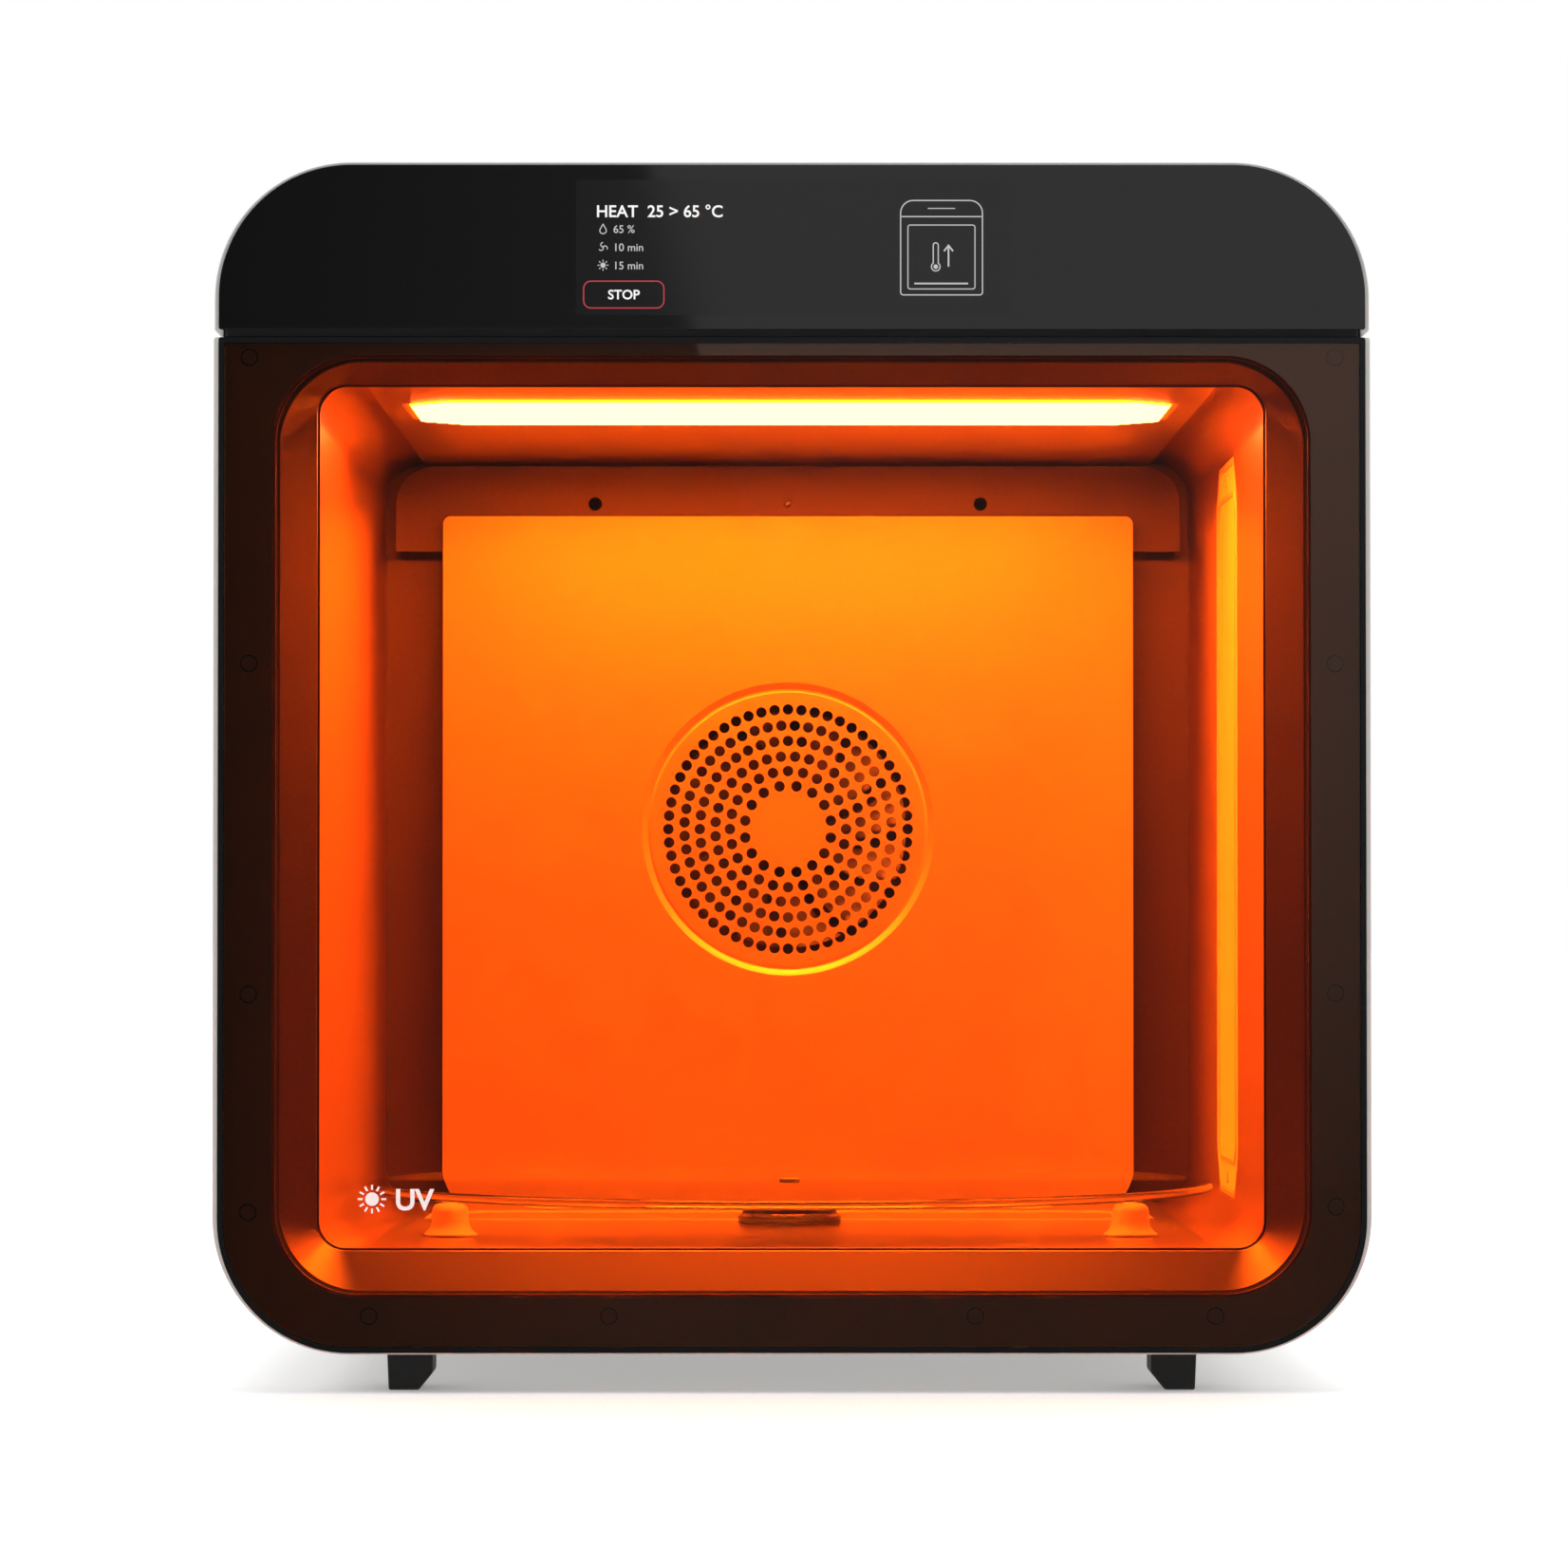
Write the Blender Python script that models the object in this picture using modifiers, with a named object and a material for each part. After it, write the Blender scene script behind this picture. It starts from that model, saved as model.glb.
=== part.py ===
"""Bench-top UV and heat post-cure oven, as an assembly of separate sub-parts.

Metres, +Z up, front towards -Y. The origin is on the table under the middle of the cabinet.
The cabinet is two moulded shells on four feet. The chamber inside has a hinged amber door, a glass
turntable on four rollers, three LED windows and a hot-air fan. The electronics sit in the bay above.
"""

import math

import bmesh
import bpy
from mathutils import Matrix, Vector

# Whole cabinet
WIDTH = 0.507
DEPTH = 0.590
HEIGHT = 0.540
FRONT = -DEPTH / 2
REAR = DEPTH / 2
GAP = 0.0003
CORNER = 0.060
SHELL_WALL = 0.004
SHELL_BOTTOM = 0.017
SHELL_FRONT = -0.2705
SHELL_IN = WIDTH / 2 - SHELL_WALL
INNER_CORNER = CORNER - SHELL_WALL
SPLIT = 0.4628
GROOVE = 0.0029
REAR_PANEL_Y = (0.2905, 0.2925)
BASE_TRAY_Z = (SHELL_BOTTOM + SHELL_WALL + GAP, SHELL_BOTTOM + SHELL_WALL + GAP + 0.0015)
THROUGH = 0.010

# Feet: distance of the inner and outer side from the middle, and of the centre from the middle
FOOT_X = (0.1583, 0.1785)
FOOT_Y = 0.255
FOOT_LENGTH = 0.030
FOOT_CUT = 0.0065

# Door and fascia, which share one front outline
FACE_HALF = 0.2514
FACE_CORNER = 0.058
DOOR_Z = (0.018, 0.4626)
DOOR_BACK = -0.275
DOOR_CHAMFER = 0.0025
RIM = 0.0023
SHEET = 0.004
VIEW_HALF = 0.2264
VIEW_Z = (0.0434, 0.4537)
VIEW_CORNER = 0.037
HINGE_Y = -0.284
HINGE_Z = 0.027
HINGE_X = 0.158
HINGE_ARM_WIDTH = 0.016
HINGE_PIN_RADIUS = 0.002
HINGE_PIN_HALF = 0.018
KNUCKLE_RADIUS = 0.0045
FASCIA_Z = (0.466, 0.5385)

# Chamber
LINER_HALF = 0.2112
LINER_WALL = 0.0015
LINER_CORNER = 0.020
LINER_FLANGE_X = 0.188
FLOOR_Z = 0.0602
CEILING_Z = 0.4457
BEZEL_FRONT = -0.270
CHAMBER_FRONT = -0.251
BACK_WALL_Y = 0.246
FAN_COVER_Y = 0.198
FAN_COVER_HALF = 0.1788
FAN_COVER_TOP = 0.416
FAN_Z = 0.2538
GRILLE_RADIUS = 0.0757
GRILLE_THICKNESS = 0.0012
HOLE_RADIUS = 0.0027
HOLE_RINGS = ((0.0226, 16), (0.0301, 24), (0.0377, 32), (0.0457, 40), (0.0537, 48), (0.0620, 56))
BRACKET_Y = 0.222
BRACKET_HALF = 0.205
BRACKET_Z = (0.399, 0.444)

# LED windows: low and high corner of each frosted plate
WINDOW_THICKNESS = 0.003
CEILING_WINDOW = ((-0.1795, -0.170, CEILING_Z), (0.1795, -0.035, CEILING_Z + WINDOW_THICKNESS))
RIGHT_WINDOW = ((LINER_HALF, -0.084, 0.074), (LINER_HALF + WINDOW_THICKNESS, 0.050, 0.428))
FLOOR_WINDOW = ((-0.1795, 0.018, FLOOR_Z - WINDOW_THICKNESS), (0.1795, 0.124, FLOOR_Z))
WINDOW_TAPER = 0.012

# Turntable
TABLE_CENTRE = Vector((0.0, -0.010, 0.0))
GLASS_RADIUS = 0.204
GLASS_Z = (0.0765, 0.0808)
HUB_RADIUS = 0.025
ROLLER_TRACK = 0.196
ROLLER_ANGLES = {"front_right": -36.3, "rear_right": 51.5, "rear_left": 128.5, "front_left": 216.3}
WHEEL_RADIUS = 0.0060
WHEEL_WIDTH = 0.005
WHEEL_Z = GLASS_Z[0] - GAP - WHEEL_RADIUS

# Electronics bay and rear
TRAY_Z = SPLIT + GAP
TRAY_SHEET = 0.0016
TRAY_TOP = TRAY_Z + TRAY_SHEET + GAP
BOARD_SHEET = 0.0016
COOLING_FAN_X = -0.120
COOLING_FAN_Z = 0.5005
COOLING_FAN_SIZE = 0.060
COOLING_FAN_TIP = 0.0265
VENT_SLOTS = 6
VENT_X = 0.150
VENT_Z = 0.100
VENT_PITCH = 0.014
VENT_HALF = 0.040
INLET_X = 0.120
INLET_Z = 0.5005
SWITCH_X = 0.172
SWITCH_PIVOT_Y = 0.2872
SWITCH_TILT = math.radians(7)

parts = None
cutters = None


def start_scene():
    """Clear the file and make the two collections."""
    global parts, cutters
    for item in list(bpy.data.objects):
        bpy.data.objects.remove(item, do_unlink=True)
    parts = bpy.data.collections.new("cure_oven")
    cutters = bpy.data.collections.new("cutters")
    for collection in (parts, cutters):
        bpy.context.scene.collection.children.link(collection)


def material(name, colour, roughness, metallic=0.0, transmission=0.0, glow=0.0):
    """A Principled material."""
    made = bpy.data.materials.new(name)
    made.use_nodes = True
    shader = made.node_tree.nodes["Principled BSDF"]
    shader.inputs["Base Color"].default_value = (*colour, 1.0)
    shader.inputs["Roughness"].default_value = roughness
    shader.inputs["Metallic"].default_value = metallic
    shader.inputs["Transmission Weight"].default_value = transmission
    if glow:
        shader.inputs["Emission Color"].default_value = (*colour, 1.0)
        shader.inputs["Emission Strength"].default_value = glow
    return made


# ---- solids -------------------------------------------------------------------------------------

def block(low, high):
    """A box between two corners."""
    solid = bmesh.new()
    bmesh.ops.create_cube(solid, size=1.0)
    low = Vector(low)
    high = Vector(high)
    bmesh.ops.scale(solid, vec=high - low, verts=solid.verts)
    bmesh.ops.translate(solid, vec=(low + high) / 2, verts=solid.verts)
    return solid


def round_edges(solid, axis, radius, segments, wanted=None):
    """Round the edges that run along an axis; wanted picks them by their middle point."""
    direction = Vector((axis == "X", axis == "Y", axis == "Z"))
    edges = []
    for edge in solid.edges:
        along = (edge.verts[1].co - edge.verts[0].co).normalized()
        middle = (edge.verts[0].co + edge.verts[1].co) / 2
        if abs(along.dot(direction)) > 0.999 and (wanted is None or wanted(middle)):
            edges.append(edge)
    bmesh.ops.bevel(solid, geom=edges, offset=radius, offset_type="OFFSET", segments=segments,
                    profile=0.5, affect="EDGES")
    return solid


def rod(start, end, radius, sides=24, end_radius=None):
    """A cylinder, or a cone when end_radius is given, between two points."""
    start = Vector(start)
    end = Vector(end)
    solid = bmesh.new()
    bmesh.ops.create_cone(solid, cap_ends=True, segments=sides, radius1=radius,
                          radius2=radius if end_radius is None else end_radius,
                          depth=(end - start).length)
    turn = (end - start).to_track_quat("Z", "Y").to_matrix().to_4x4()
    bmesh.ops.transform(solid, matrix=Matrix.Translation((start + end) / 2) @ turn, verts=solid.verts)
    return solid


def turn_solid(solid, angle, axis, centre):
    """Turn a solid about an axis through a point."""
    bmesh.ops.rotate(solid, cent=Vector(centre), matrix=Matrix.Rotation(angle, 3, axis),
                     verts=solid.verts)
    return solid


def joined(solids):
    """One mesh from several solids."""
    whole = bmesh.new()
    for solid in solids:
        piece = bpy.data.meshes.new("piece")
        solid.to_mesh(piece)
        solid.free()
        whole.from_mesh(piece)
        bpy.data.meshes.remove(piece)
    return whole


def place(name, solid, look, origin=(0, 0, 0)):
    """An object in the parts collection, with its origin at the given point."""
    origin = Vector(origin)
    bmesh.ops.translate(solid, vec=-origin, verts=solid.verts)
    mesh = bpy.data.meshes.new(name)
    solid.to_mesh(mesh)
    solid.free()
    mesh.shade_smooth()
    mesh.set_sharp_from_angle(angle=math.radians(30))
    mesh.materials.append(look)
    item = bpy.data.objects.new(name, mesh)
    item.location = origin
    parts.objects.link(item)
    return item


def combine(item, solids, operation):
    """Cut solids from an object, or join them to it, with one Boolean modifier."""
    mesh = bpy.data.meshes.new(item.name + "_tool")
    tool_solid = joined(solids)
    bmesh.ops.translate(tool_solid, vec=-item.location, verts=tool_solid.verts)
    tool_solid.to_mesh(mesh)
    tool_solid.free()
    tool = bpy.data.objects.new(item.name + "_tool", mesh)
    tool.parent = item
    tool.hide_render = True
    tool.display_type = "WIRE"
    cutters.objects.link(tool)
    modifier = item.modifiers.new(operation.lower(), "BOOLEAN")
    modifier.operation = operation
    modifier.solver = "EXACT"
    modifier.object = tool


def cut(item, *solids):
    """Cut solids that don't overlap each other."""
    combine(item, solids, "DIFFERENCE")


def join(item, *solids):
    """Join solids that don't overlap each other."""
    combine(item, solids, "UNION")


def turned(name, profile, look, origin, steps=32):
    """A turned piece: a profile of (radius, height), top to bottom, with a Screw modifier."""
    mesh = bpy.data.meshes.new(name)
    points = [(radius, 0.0, height) for radius, height in profile]
    mesh.from_pydata(points, [(i, i + 1) for i in range(len(points) - 1)], [])
    mesh.materials.append(look)
    item = bpy.data.objects.new(name, mesh)
    item.location = origin
    parts.objects.link(item)
    screw = item.modifiers.new("turn", "SCREW")
    screw.steps = steps
    screw.render_steps = steps
    screw.use_merge_vertices = True
    screw.merge_threshold = 0.00005
    screw.use_smooth_shade = True
    return item


def upper(middle_z):
    """A test for edges above a height."""
    return lambda middle: middle.z > middle_z


def lower(middle_z):
    """A test for edges below a height."""
    return lambda middle: middle.z < middle_z


# ---- cabinet ------------------------------------------------------------------------------------

def lower_shell(look):
    """Casing round the chamber: open at the front, the back and the top, with a top flange."""
    outer = block((-WIDTH / 2, SHELL_FRONT, SHELL_BOTTOM), (WIDTH / 2, REAR, SPLIT))
    round_edges(outer, "Y", CORNER, 8, lower(0.1))
    shell = place("lower_shell", outer, look)
    flange_z = SPLIT - SHELL_WALL
    flange_in = SHELL_IN - 0.007
    void = block((-SHELL_IN, SHELL_FRONT - THROUGH, SHELL_BOTTOM + SHELL_WALL),
                 (SHELL_IN, REAR + THROUGH, flange_z))
    round_edges(void, "Y", INNER_CORNER, 8, lower(0.1))
    cut(shell, void)
    cut(shell, block((-flange_in, SHELL_FRONT - THROUGH, flange_z - THROUGH),
                     (flange_in, REAR + THROUGH, SPLIT + THROUGH)))
    cut(shell, block((-SHELL_IN, REAR - 0.006, flange_z - THROUGH),
                     (SHELL_IN, REAR + THROUGH, SPLIT + THROUGH)))


def top_cover(look):
    """Cover of the electronics bay: an arch whose lower edges slope inwards over the groove."""
    front = FRONT + SHEET + GAP
    outer = block((-WIDTH / 2, front, TRAY_Z), (WIDTH / 2, REAR, HEIGHT))
    round_edges(outer, "Y", CORNER, 8, upper(0.5))
    low_edges = [edge for edge in outer.edges
                 if all(abs(vert.co.z - TRAY_Z) < 1e-6 and abs(abs(vert.co.x) - WIDTH / 2) < 1e-6
                        for vert in edge.verts)]
    bmesh.ops.bevel(outer, geom=low_edges, offset=GROOVE, offset_type="OFFSET", segments=1,
                    profile=0.5, affect="EDGES")
    cover = place("top_cover", outer, look)
    void = block((-SHELL_IN, front - THROUGH, TRAY_Z - THROUGH),
                 (SHELL_IN, REAR + THROUGH, HEIGHT - SHELL_WALL))
    round_edges(void, "Y", INNER_CORNER, 8, upper(0.5))
    cut(cover, void)


def rear_panel(look):
    """Sheet metal back with the fan opening, the inlet opening, the switch opening and vents."""
    plate = block((-SHELL_IN + GAP, REAR_PANEL_Y[0], SHELL_BOTTOM + SHELL_WALL + GAP),
                  (SHELL_IN - GAP, REAR_PANEL_Y[1], HEIGHT - SHELL_WALL - GAP))
    round_edges(plate, "Y", INNER_CORNER, 8)
    panel = place("rear_panel", plate, look)
    low_y = REAR_PANEL_Y[0] - THROUGH
    high_y = REAR_PANEL_Y[1] + THROUGH

    def opening(x, z, half_x, half_z):
        return block((x - half_x, low_y, z - half_z), (x + half_x, high_y, z + half_z))

    holes = [opening(INLET_X, INLET_Z, 0.0140, 0.0105), opening(SWITCH_X, INLET_Z, 0.0100, 0.0140)]
    slot_half = 0.002
    fan_slots = 5
    fan_pitch = 0.0095
    for i in range(fan_slots):
        rise = (i - (fan_slots - 1) / 2) * fan_pitch
        half = math.sqrt(COOLING_FAN_TIP ** 2 - rise ** 2)
        holes.append(opening(COOLING_FAN_X, COOLING_FAN_Z + rise, half, slot_half))
    for side in (-1, 1):
        for i in range(VENT_SLOTS):
            holes.append(opening(side * VENT_X, VENT_Z + i * VENT_PITCH, VENT_HALF, slot_half))
    cut(panel, *holes)


def trays(look):
    """The base tray under the chamber and the divider tray under the electronics."""
    half = 0.190
    base = block((-half, CHAMBER_FRONT + GAP, BASE_TRAY_Z[0]), (half, 0.288, BASE_TRAY_Z[1]))
    place("base_tray", base, look)
    edge = SHELL_IN - GAP
    rear = REAR_PANEL_Y[0] - GAP
    front = FRONT + SHEET + GAP
    outer = block((-edge, front, TRAY_Z), (edge, rear, TRAY_Z + 0.007))
    tray = place("divider_tray", outer, look)
    cut(tray, block((-edge + TRAY_SHEET, front + TRAY_SHEET, TRAY_Z + TRAY_SHEET),
                    (edge - TRAY_SHEET, rear - TRAY_SHEET, TRAY_Z + THROUGH)))


def front_bezel(look):
    """The face behind the door, with a collar into the chamber and slots for the hinge arms."""
    edge = SHELL_IN - GAP
    low = SHELL_BOTTOM + SHELL_WALL + GAP
    high = SPLIT - SHELL_WALL - GAP
    solid = block((-edge, BEZEL_FRONT, low), (edge, CHAMBER_FRONT, high))
    round_edges(solid, "Y", INNER_CORNER, 8, lower(0.1))
    bezel = place("front_bezel", solid, look)
    lip = 0.0014
    mouth_half = LINER_HALF - lip
    mouth_z = (FLOOR_Z + lip, CEILING_Z - lip)
    throat_y = CHAMBER_FRONT - 0.002
    mouth = block((-mouth_half, BEZEL_FRONT - THROUGH, mouth_z[0]),
                  (mouth_half, CHAMBER_FRONT + THROUGH, mouth_z[1]))
    cut(bezel, round_edges(mouth, "Y", 0.012, 5))
    funnel = block((-VIEW_HALF, BEZEL_FRONT, VIEW_Z[0]), (VIEW_HALF, throat_y, VIEW_Z[1]))
    round_edges(funnel, "Y", VIEW_CORNER, 7)
    middle_z = (mouth_z[0] + mouth_z[1]) / 2
    narrow_x = mouth_half / VIEW_HALF
    narrow_z = (mouth_z[1] - middle_z) / (VIEW_Z[1] - middle_z)
    for vert in funnel.verts:
        if vert.co.y > BEZEL_FRONT + GAP:
            vert.co.x *= narrow_x
            vert.co.z = middle_z + (vert.co.z - middle_z) * narrow_z
        else:
            vert.co.y -= GAP
    cut(bezel, funnel)
    wall = 0.0025
    pocket_y = (BEZEL_FRONT + wall, CHAMBER_FRONT + THROUGH)
    flat_half = 0.180
    side_z = (0.090, 0.440)
    pockets = [block((-flat_half, pocket_y[0], low + wall), (flat_half, pocket_y[1], VIEW_Z[0] - wall))]
    for side in (-1, 1):
        near, far = sorted((side * (VIEW_HALF + wall), side * (edge - wall)))
        pockets.append(block((near, pocket_y[0], side_z[0]), (far, pocket_y[1], side_z[1])))
    cut(bezel, *pockets)
    arm_half = HINGE_ARM_WIDTH / 2 + 2 * GAP
    slot_top = HINGE_Z + KNUCKLE_RADIUS + 0.001
    cut(bezel, *[block((side * HINGE_X - arm_half, BEZEL_FRONT - THROUGH, low - THROUGH),
                       (side * HINGE_X + arm_half, CHAMBER_FRONT + THROUGH, slot_top))
                 for side in (-1, 1)])


def fascia_and_display(looks):
    """Glossy top fascia, the bar display behind it and the boards in the bay."""
    solid = block((-FACE_HALF, FRONT, FASCIA_Z[0]), (FACE_HALF, FRONT + SHEET, FASCIA_Z[1]))
    round_edges(solid, "Y", FACE_CORNER, 8, upper(0.5))
    front_edges = [edge for edge in solid.edges if all(abs(vert.co.y - FRONT) < 1e-6 for vert in edge.verts)]
    bmesh.ops.bevel(solid, geom=front_edges, offset=0.0005, offset_type="OFFSET", segments=1,
                    profile=0.5, affect="EDGES")
    place("top_fascia", solid, looks["gloss_black"])
    display_y = FRONT + SHEET + GAP
    display = block((-0.1015, display_y, 0.4715), (0.1015, display_y + 0.0075, 0.5350))
    place("display_module", round_edges(display, "Y", 0.001, 1), looks["dark_plastic"])
    board_z = 0.4700
    board_top = board_z + BOARD_SHEET
    board = place("control_board", block((-0.200, -0.100, board_z), (-0.040, 0.020, board_top)),
                  looks["green_board"])
    join(board, *[rod((x, y, TRAY_TOP), (x, y, board_z + BOARD_SHEET / 2), 0.003, 12)
                  for x in (-0.194, -0.046) for y in (-0.094, 0.014)])
    join(board, block((-0.150, -0.070, board_top - 0.0005), (-0.120, -0.040, board_top + 0.004)),
         block((-0.100, -0.080, board_top - 0.0005), (-0.080, -0.020, board_top + 0.012)))
    supply = block((0.020, 0.050, TRAY_TOP), (0.220, 0.165, TRAY_TOP + 0.040))
    place("power_supply", round_edges(supply, "Z", 0.002, 1), looks["sheet_metal"])


def feet(look):
    """Four rubber blocks, each with its lower inner edge cut away."""
    top = SHELL_BOTTOM - GAP
    for name_y, y in (("front", -FOOT_Y), ("rear", FOOT_Y)):
        for name_x, side in (("left", -1), ("right", 1)):
            near, far = sorted((side * FOOT_X[0], side * FOOT_X[1]))
            solid = block((near, y - FOOT_LENGTH / 2, 0.0), (far, y + FOOT_LENGTH / 2, top))
            round_edges(solid, "Y", FOOT_CUT, 1,
                        lambda middle: middle.z < top / 2 and abs(middle.x) < (FOOT_X[0] + FOOT_X[1]) / 2)
            place(f"foot_{name_y}_{name_x}", solid, look)


# ---- chamber ------------------------------------------------------------------------------------

def grown(window, amount):
    """A window's box made larger on every side."""
    low, high = Vector(window[0]), Vector(window[1])
    step = Vector((amount, amount, amount))
    return low - step, high + step


def tapered(box, axis):
    """A plate whose four corners are cut at 45 degrees."""
    return round_edges(block(*box), axis, WINDOW_TAPER, 1)


def liner_panels(look):
    """Mirror-finish liner: two side channels with round corners, a ceiling and a floor."""
    rear = BACK_WALL_Y - GAP
    front = CHAMBER_FRONT + GAP
    flange_low = FLOOR_Z - LINER_WALL - GAP
    flange_high = CEILING_Z + LINER_WALL + GAP
    for name, side in (("liner_left", -1), ("liner_right", 1)):
        near, far = sorted((side * LINER_FLANGE_X, side * (LINER_HALF + LINER_WALL)))
        solid = block((near, front, flange_low - LINER_WALL), (far, rear, flange_high + LINER_WALL))
        outside = LINER_HALF * 0.99
        round_edges(solid, "Y", LINER_CORNER + LINER_WALL, 6, lambda middle: abs(middle.x) > outside)
        panel = place(name, solid, look)
        near, far = sorted((side * (LINER_FLANGE_X - THROUGH), side * LINER_HALF))
        void = block((near, front - THROUGH, flange_low), (far, rear + THROUGH, flange_high))
        round_edges(void, "Y", LINER_CORNER, 6, lambda middle: abs(middle.x) > outside)
        cut(panel, void)
        if side > 0:
            cut(panel, tapered(grown(RIGHT_WINDOW, GAP), "X"))
    half = LINER_FLANGE_X + 0.002
    sheet = block((-half, front, CEILING_Z), (half, rear, CEILING_Z + LINER_WALL))
    ceiling = place("liner_ceiling", sheet, look)
    cut(ceiling, tapered(grown(CEILING_WINDOW, GAP), "Z"))
    sheet = block((-half, front, FLOOR_Z - LINER_WALL), (half, rear, FLOOR_Z))
    floor = place("liner_floor", sheet, look)
    shaft_hole = rod(TABLE_CENTRE + Vector((0, 0, FLOOR_Z - THROUGH)),
                     TABLE_CENTRE + Vector((0, 0, FLOOR_Z + THROUGH)), 0.0055)
    cut(floor, tapered(grown(FLOOR_WINDOW, GAP), "Z"), shaft_hole)


def back_wall_and_cover(looks):
    """Back wall, fan cover with its grille, the bracket above it and the sensor in the bracket."""
    flange_low = FLOOR_Z - 2 * LINER_WALL - GAP
    flange_high = CEILING_Z + 2 * LINER_WALL + GAP
    wall = place("chamber_back_wall",
                 block((-0.2145, BACK_WALL_Y, flange_low), (0.2145, BACK_WALL_Y + LINER_WALL, flange_high)),
                 looks["mirror"])
    cut(wall, rod((0, BACK_WALL_Y - THROUGH, FAN_Z), (0, BACK_WALL_Y + THROUGH, FAN_Z), 0.006))

    cover_rear = BRACKET_Y - GAP
    solid = block((-FAN_COVER_HALF, FAN_COVER_Y, FLOOR_Z + GAP), (FAN_COVER_HALF, cover_rear, FAN_COVER_TOP))
    cover = place("fan_cover", solid, looks["mirror"])
    inner = FAN_COVER_HALF - LINER_WALL
    cut(cover, block((-inner, FAN_COVER_Y + LINER_WALL, FLOOR_Z - THROUGH),
                     (inner, cover_rear + THROUGH, FAN_COVER_TOP - LINER_WALL)))
    cut(cover, rod((0, FAN_COVER_Y - THROUGH, FAN_Z), (0, FAN_COVER_Y + THROUGH, FAN_Z),
                   GRILLE_RADIUS + GAP, 48))

    grille_y = FAN_COVER_Y + GRILLE_THICKNESS
    grille = place("fan_grille", rod((0, FAN_COVER_Y, FAN_Z), (0, grille_y, FAN_Z), GRILLE_RADIUS, 48),
                   looks["mirror"])
    holes = []
    for i, (ring_radius, count) in enumerate(HOLE_RINGS):
        start = 0.0 if i % 2 else math.pi / count
        for k in range(count):
            angle = start + k * math.tau / count
            x = ring_radius * math.sin(angle)
            z = FAN_Z + ring_radius * math.cos(angle)
            holes.append(rod((x, FAN_COVER_Y - 0.002, z), (x, grille_y + 0.002, z), HOLE_RADIUS, 4))
    cut(grille, *holes)

    bracket_rear = BACK_WALL_Y - GAP
    solid = block((-BRACKET_HALF, BRACKET_Y, BRACKET_Z[0]), (BRACKET_HALF, bracket_rear, BRACKET_Z[1]))
    round_edges(solid, "Y", LINER_CORNER, 6, upper(0.42))
    bracket = place("fan_cover_bracket", solid, looks["mirror"])
    inner = BRACKET_HALF - LINER_WALL
    void = block((-inner, BRACKET_Y + LINER_WALL, BRACKET_Z[0] - THROUGH),
                 (inner, bracket_rear + THROUGH, BRACKET_Z[1] - LINER_WALL))
    cut(bracket, round_edges(void, "Y", LINER_CORNER - LINER_WALL, 6, upper(0.42)))
    screw_z = 0.424
    screw_xs = {"bracket_screw_left": -0.1006, "bracket_screw_right": 0.1006}
    sensor_radius = 0.0015

    def hole(x, radius):
        return rod((x, BRACKET_Y - THROUGH, screw_z), (x, BRACKET_Y + THROUGH, screw_z), radius, 16)

    cut(bracket, hole(0.0, sensor_radius + GAP), *[hole(x, 0.0019) for x in screw_xs.values()])
    for name, x in screw_xs.items():
        head = BRACKET_Y - GAP
        screw = place(name, rod((x, head - 0.0018, screw_z), (x, head, screw_z), 0.0031, 20, 0.0034),
                      looks["steel"])
        join(screw, rod((x, head - 0.0010, screw_z), (x, head + 0.007, screw_z), 0.0015, 16))
        cut(screw, rod((x, head - 0.004, screw_z), (x, head - 0.0008, screw_z), 0.0014, 6))
    sensor = place("temperature_sensor",
                   rod((0, BRACKET_Y - 0.001, screw_z), (0, BRACKET_Y + 0.012, screw_z), sensor_radius, 16),
                   looks["steel"])
    join(sensor, rod((0, BRACKET_Y + LINER_WALL + GAP, screw_z), (0, BRACKET_Y + 0.006, screw_z), 0.004, 16))


def led_units(looks):
    """Frosted window, LED board and finned heat sink in the ceiling, the right wall and the floor."""
    inset = 0.012
    for name, window, axis, out in (("ceiling", CEILING_WINDOW, 2, 1), ("right", RIGHT_WINDOW, 0, 1),
                                    ("floor", FLOOR_WINDOW, 2, -1)):
        axis_name = "XYZ"[axis]
        place(f"led_window_{name}", tapered(window, axis_name), looks["frosted"])
        face = window[1][axis] if out > 0 else window[0][axis]
        board_start = face + out * 0.0025
        board_end = board_start + out * BOARD_SHEET
        sink_start = board_end + out * GAP
        sink_end = sink_start + out * 0.0085
        low = [value + inset for value in window[0]]
        high = [value - inset for value in window[1]]
        low[axis], high[axis] = sorted((board_start, board_end))
        place(f"led_board_{name}", block(low, high), looks["white_board"])
        low[axis], high[axis] = sorted((sink_start, sink_end))
        sink = place(f"heat_sink_{name}", block(low, high), looks["aluminium"])
        fin_axis = 1
        count = 9
        pitch = (high[fin_axis] - low[fin_axis]) / (count + 0.5)
        slots = []
        for k in range(count):
            slot_low = [value - THROUGH for value in low]
            slot_high = [value + THROUGH for value in high]
            slot_low[fin_axis] = low[fin_axis] + pitch * (k + 0.5)
            slot_high[fin_axis] = slot_low[fin_axis] + pitch * 0.6
            slot_low[axis], slot_high[axis] = sorted((sink_start + out * 0.003, sink_end + out * THROUGH))
            slots.append(block(slot_low, slot_high))
        cut(sink, *slots)


# ---- fans ---------------------------------------------------------------------------------------

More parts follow.
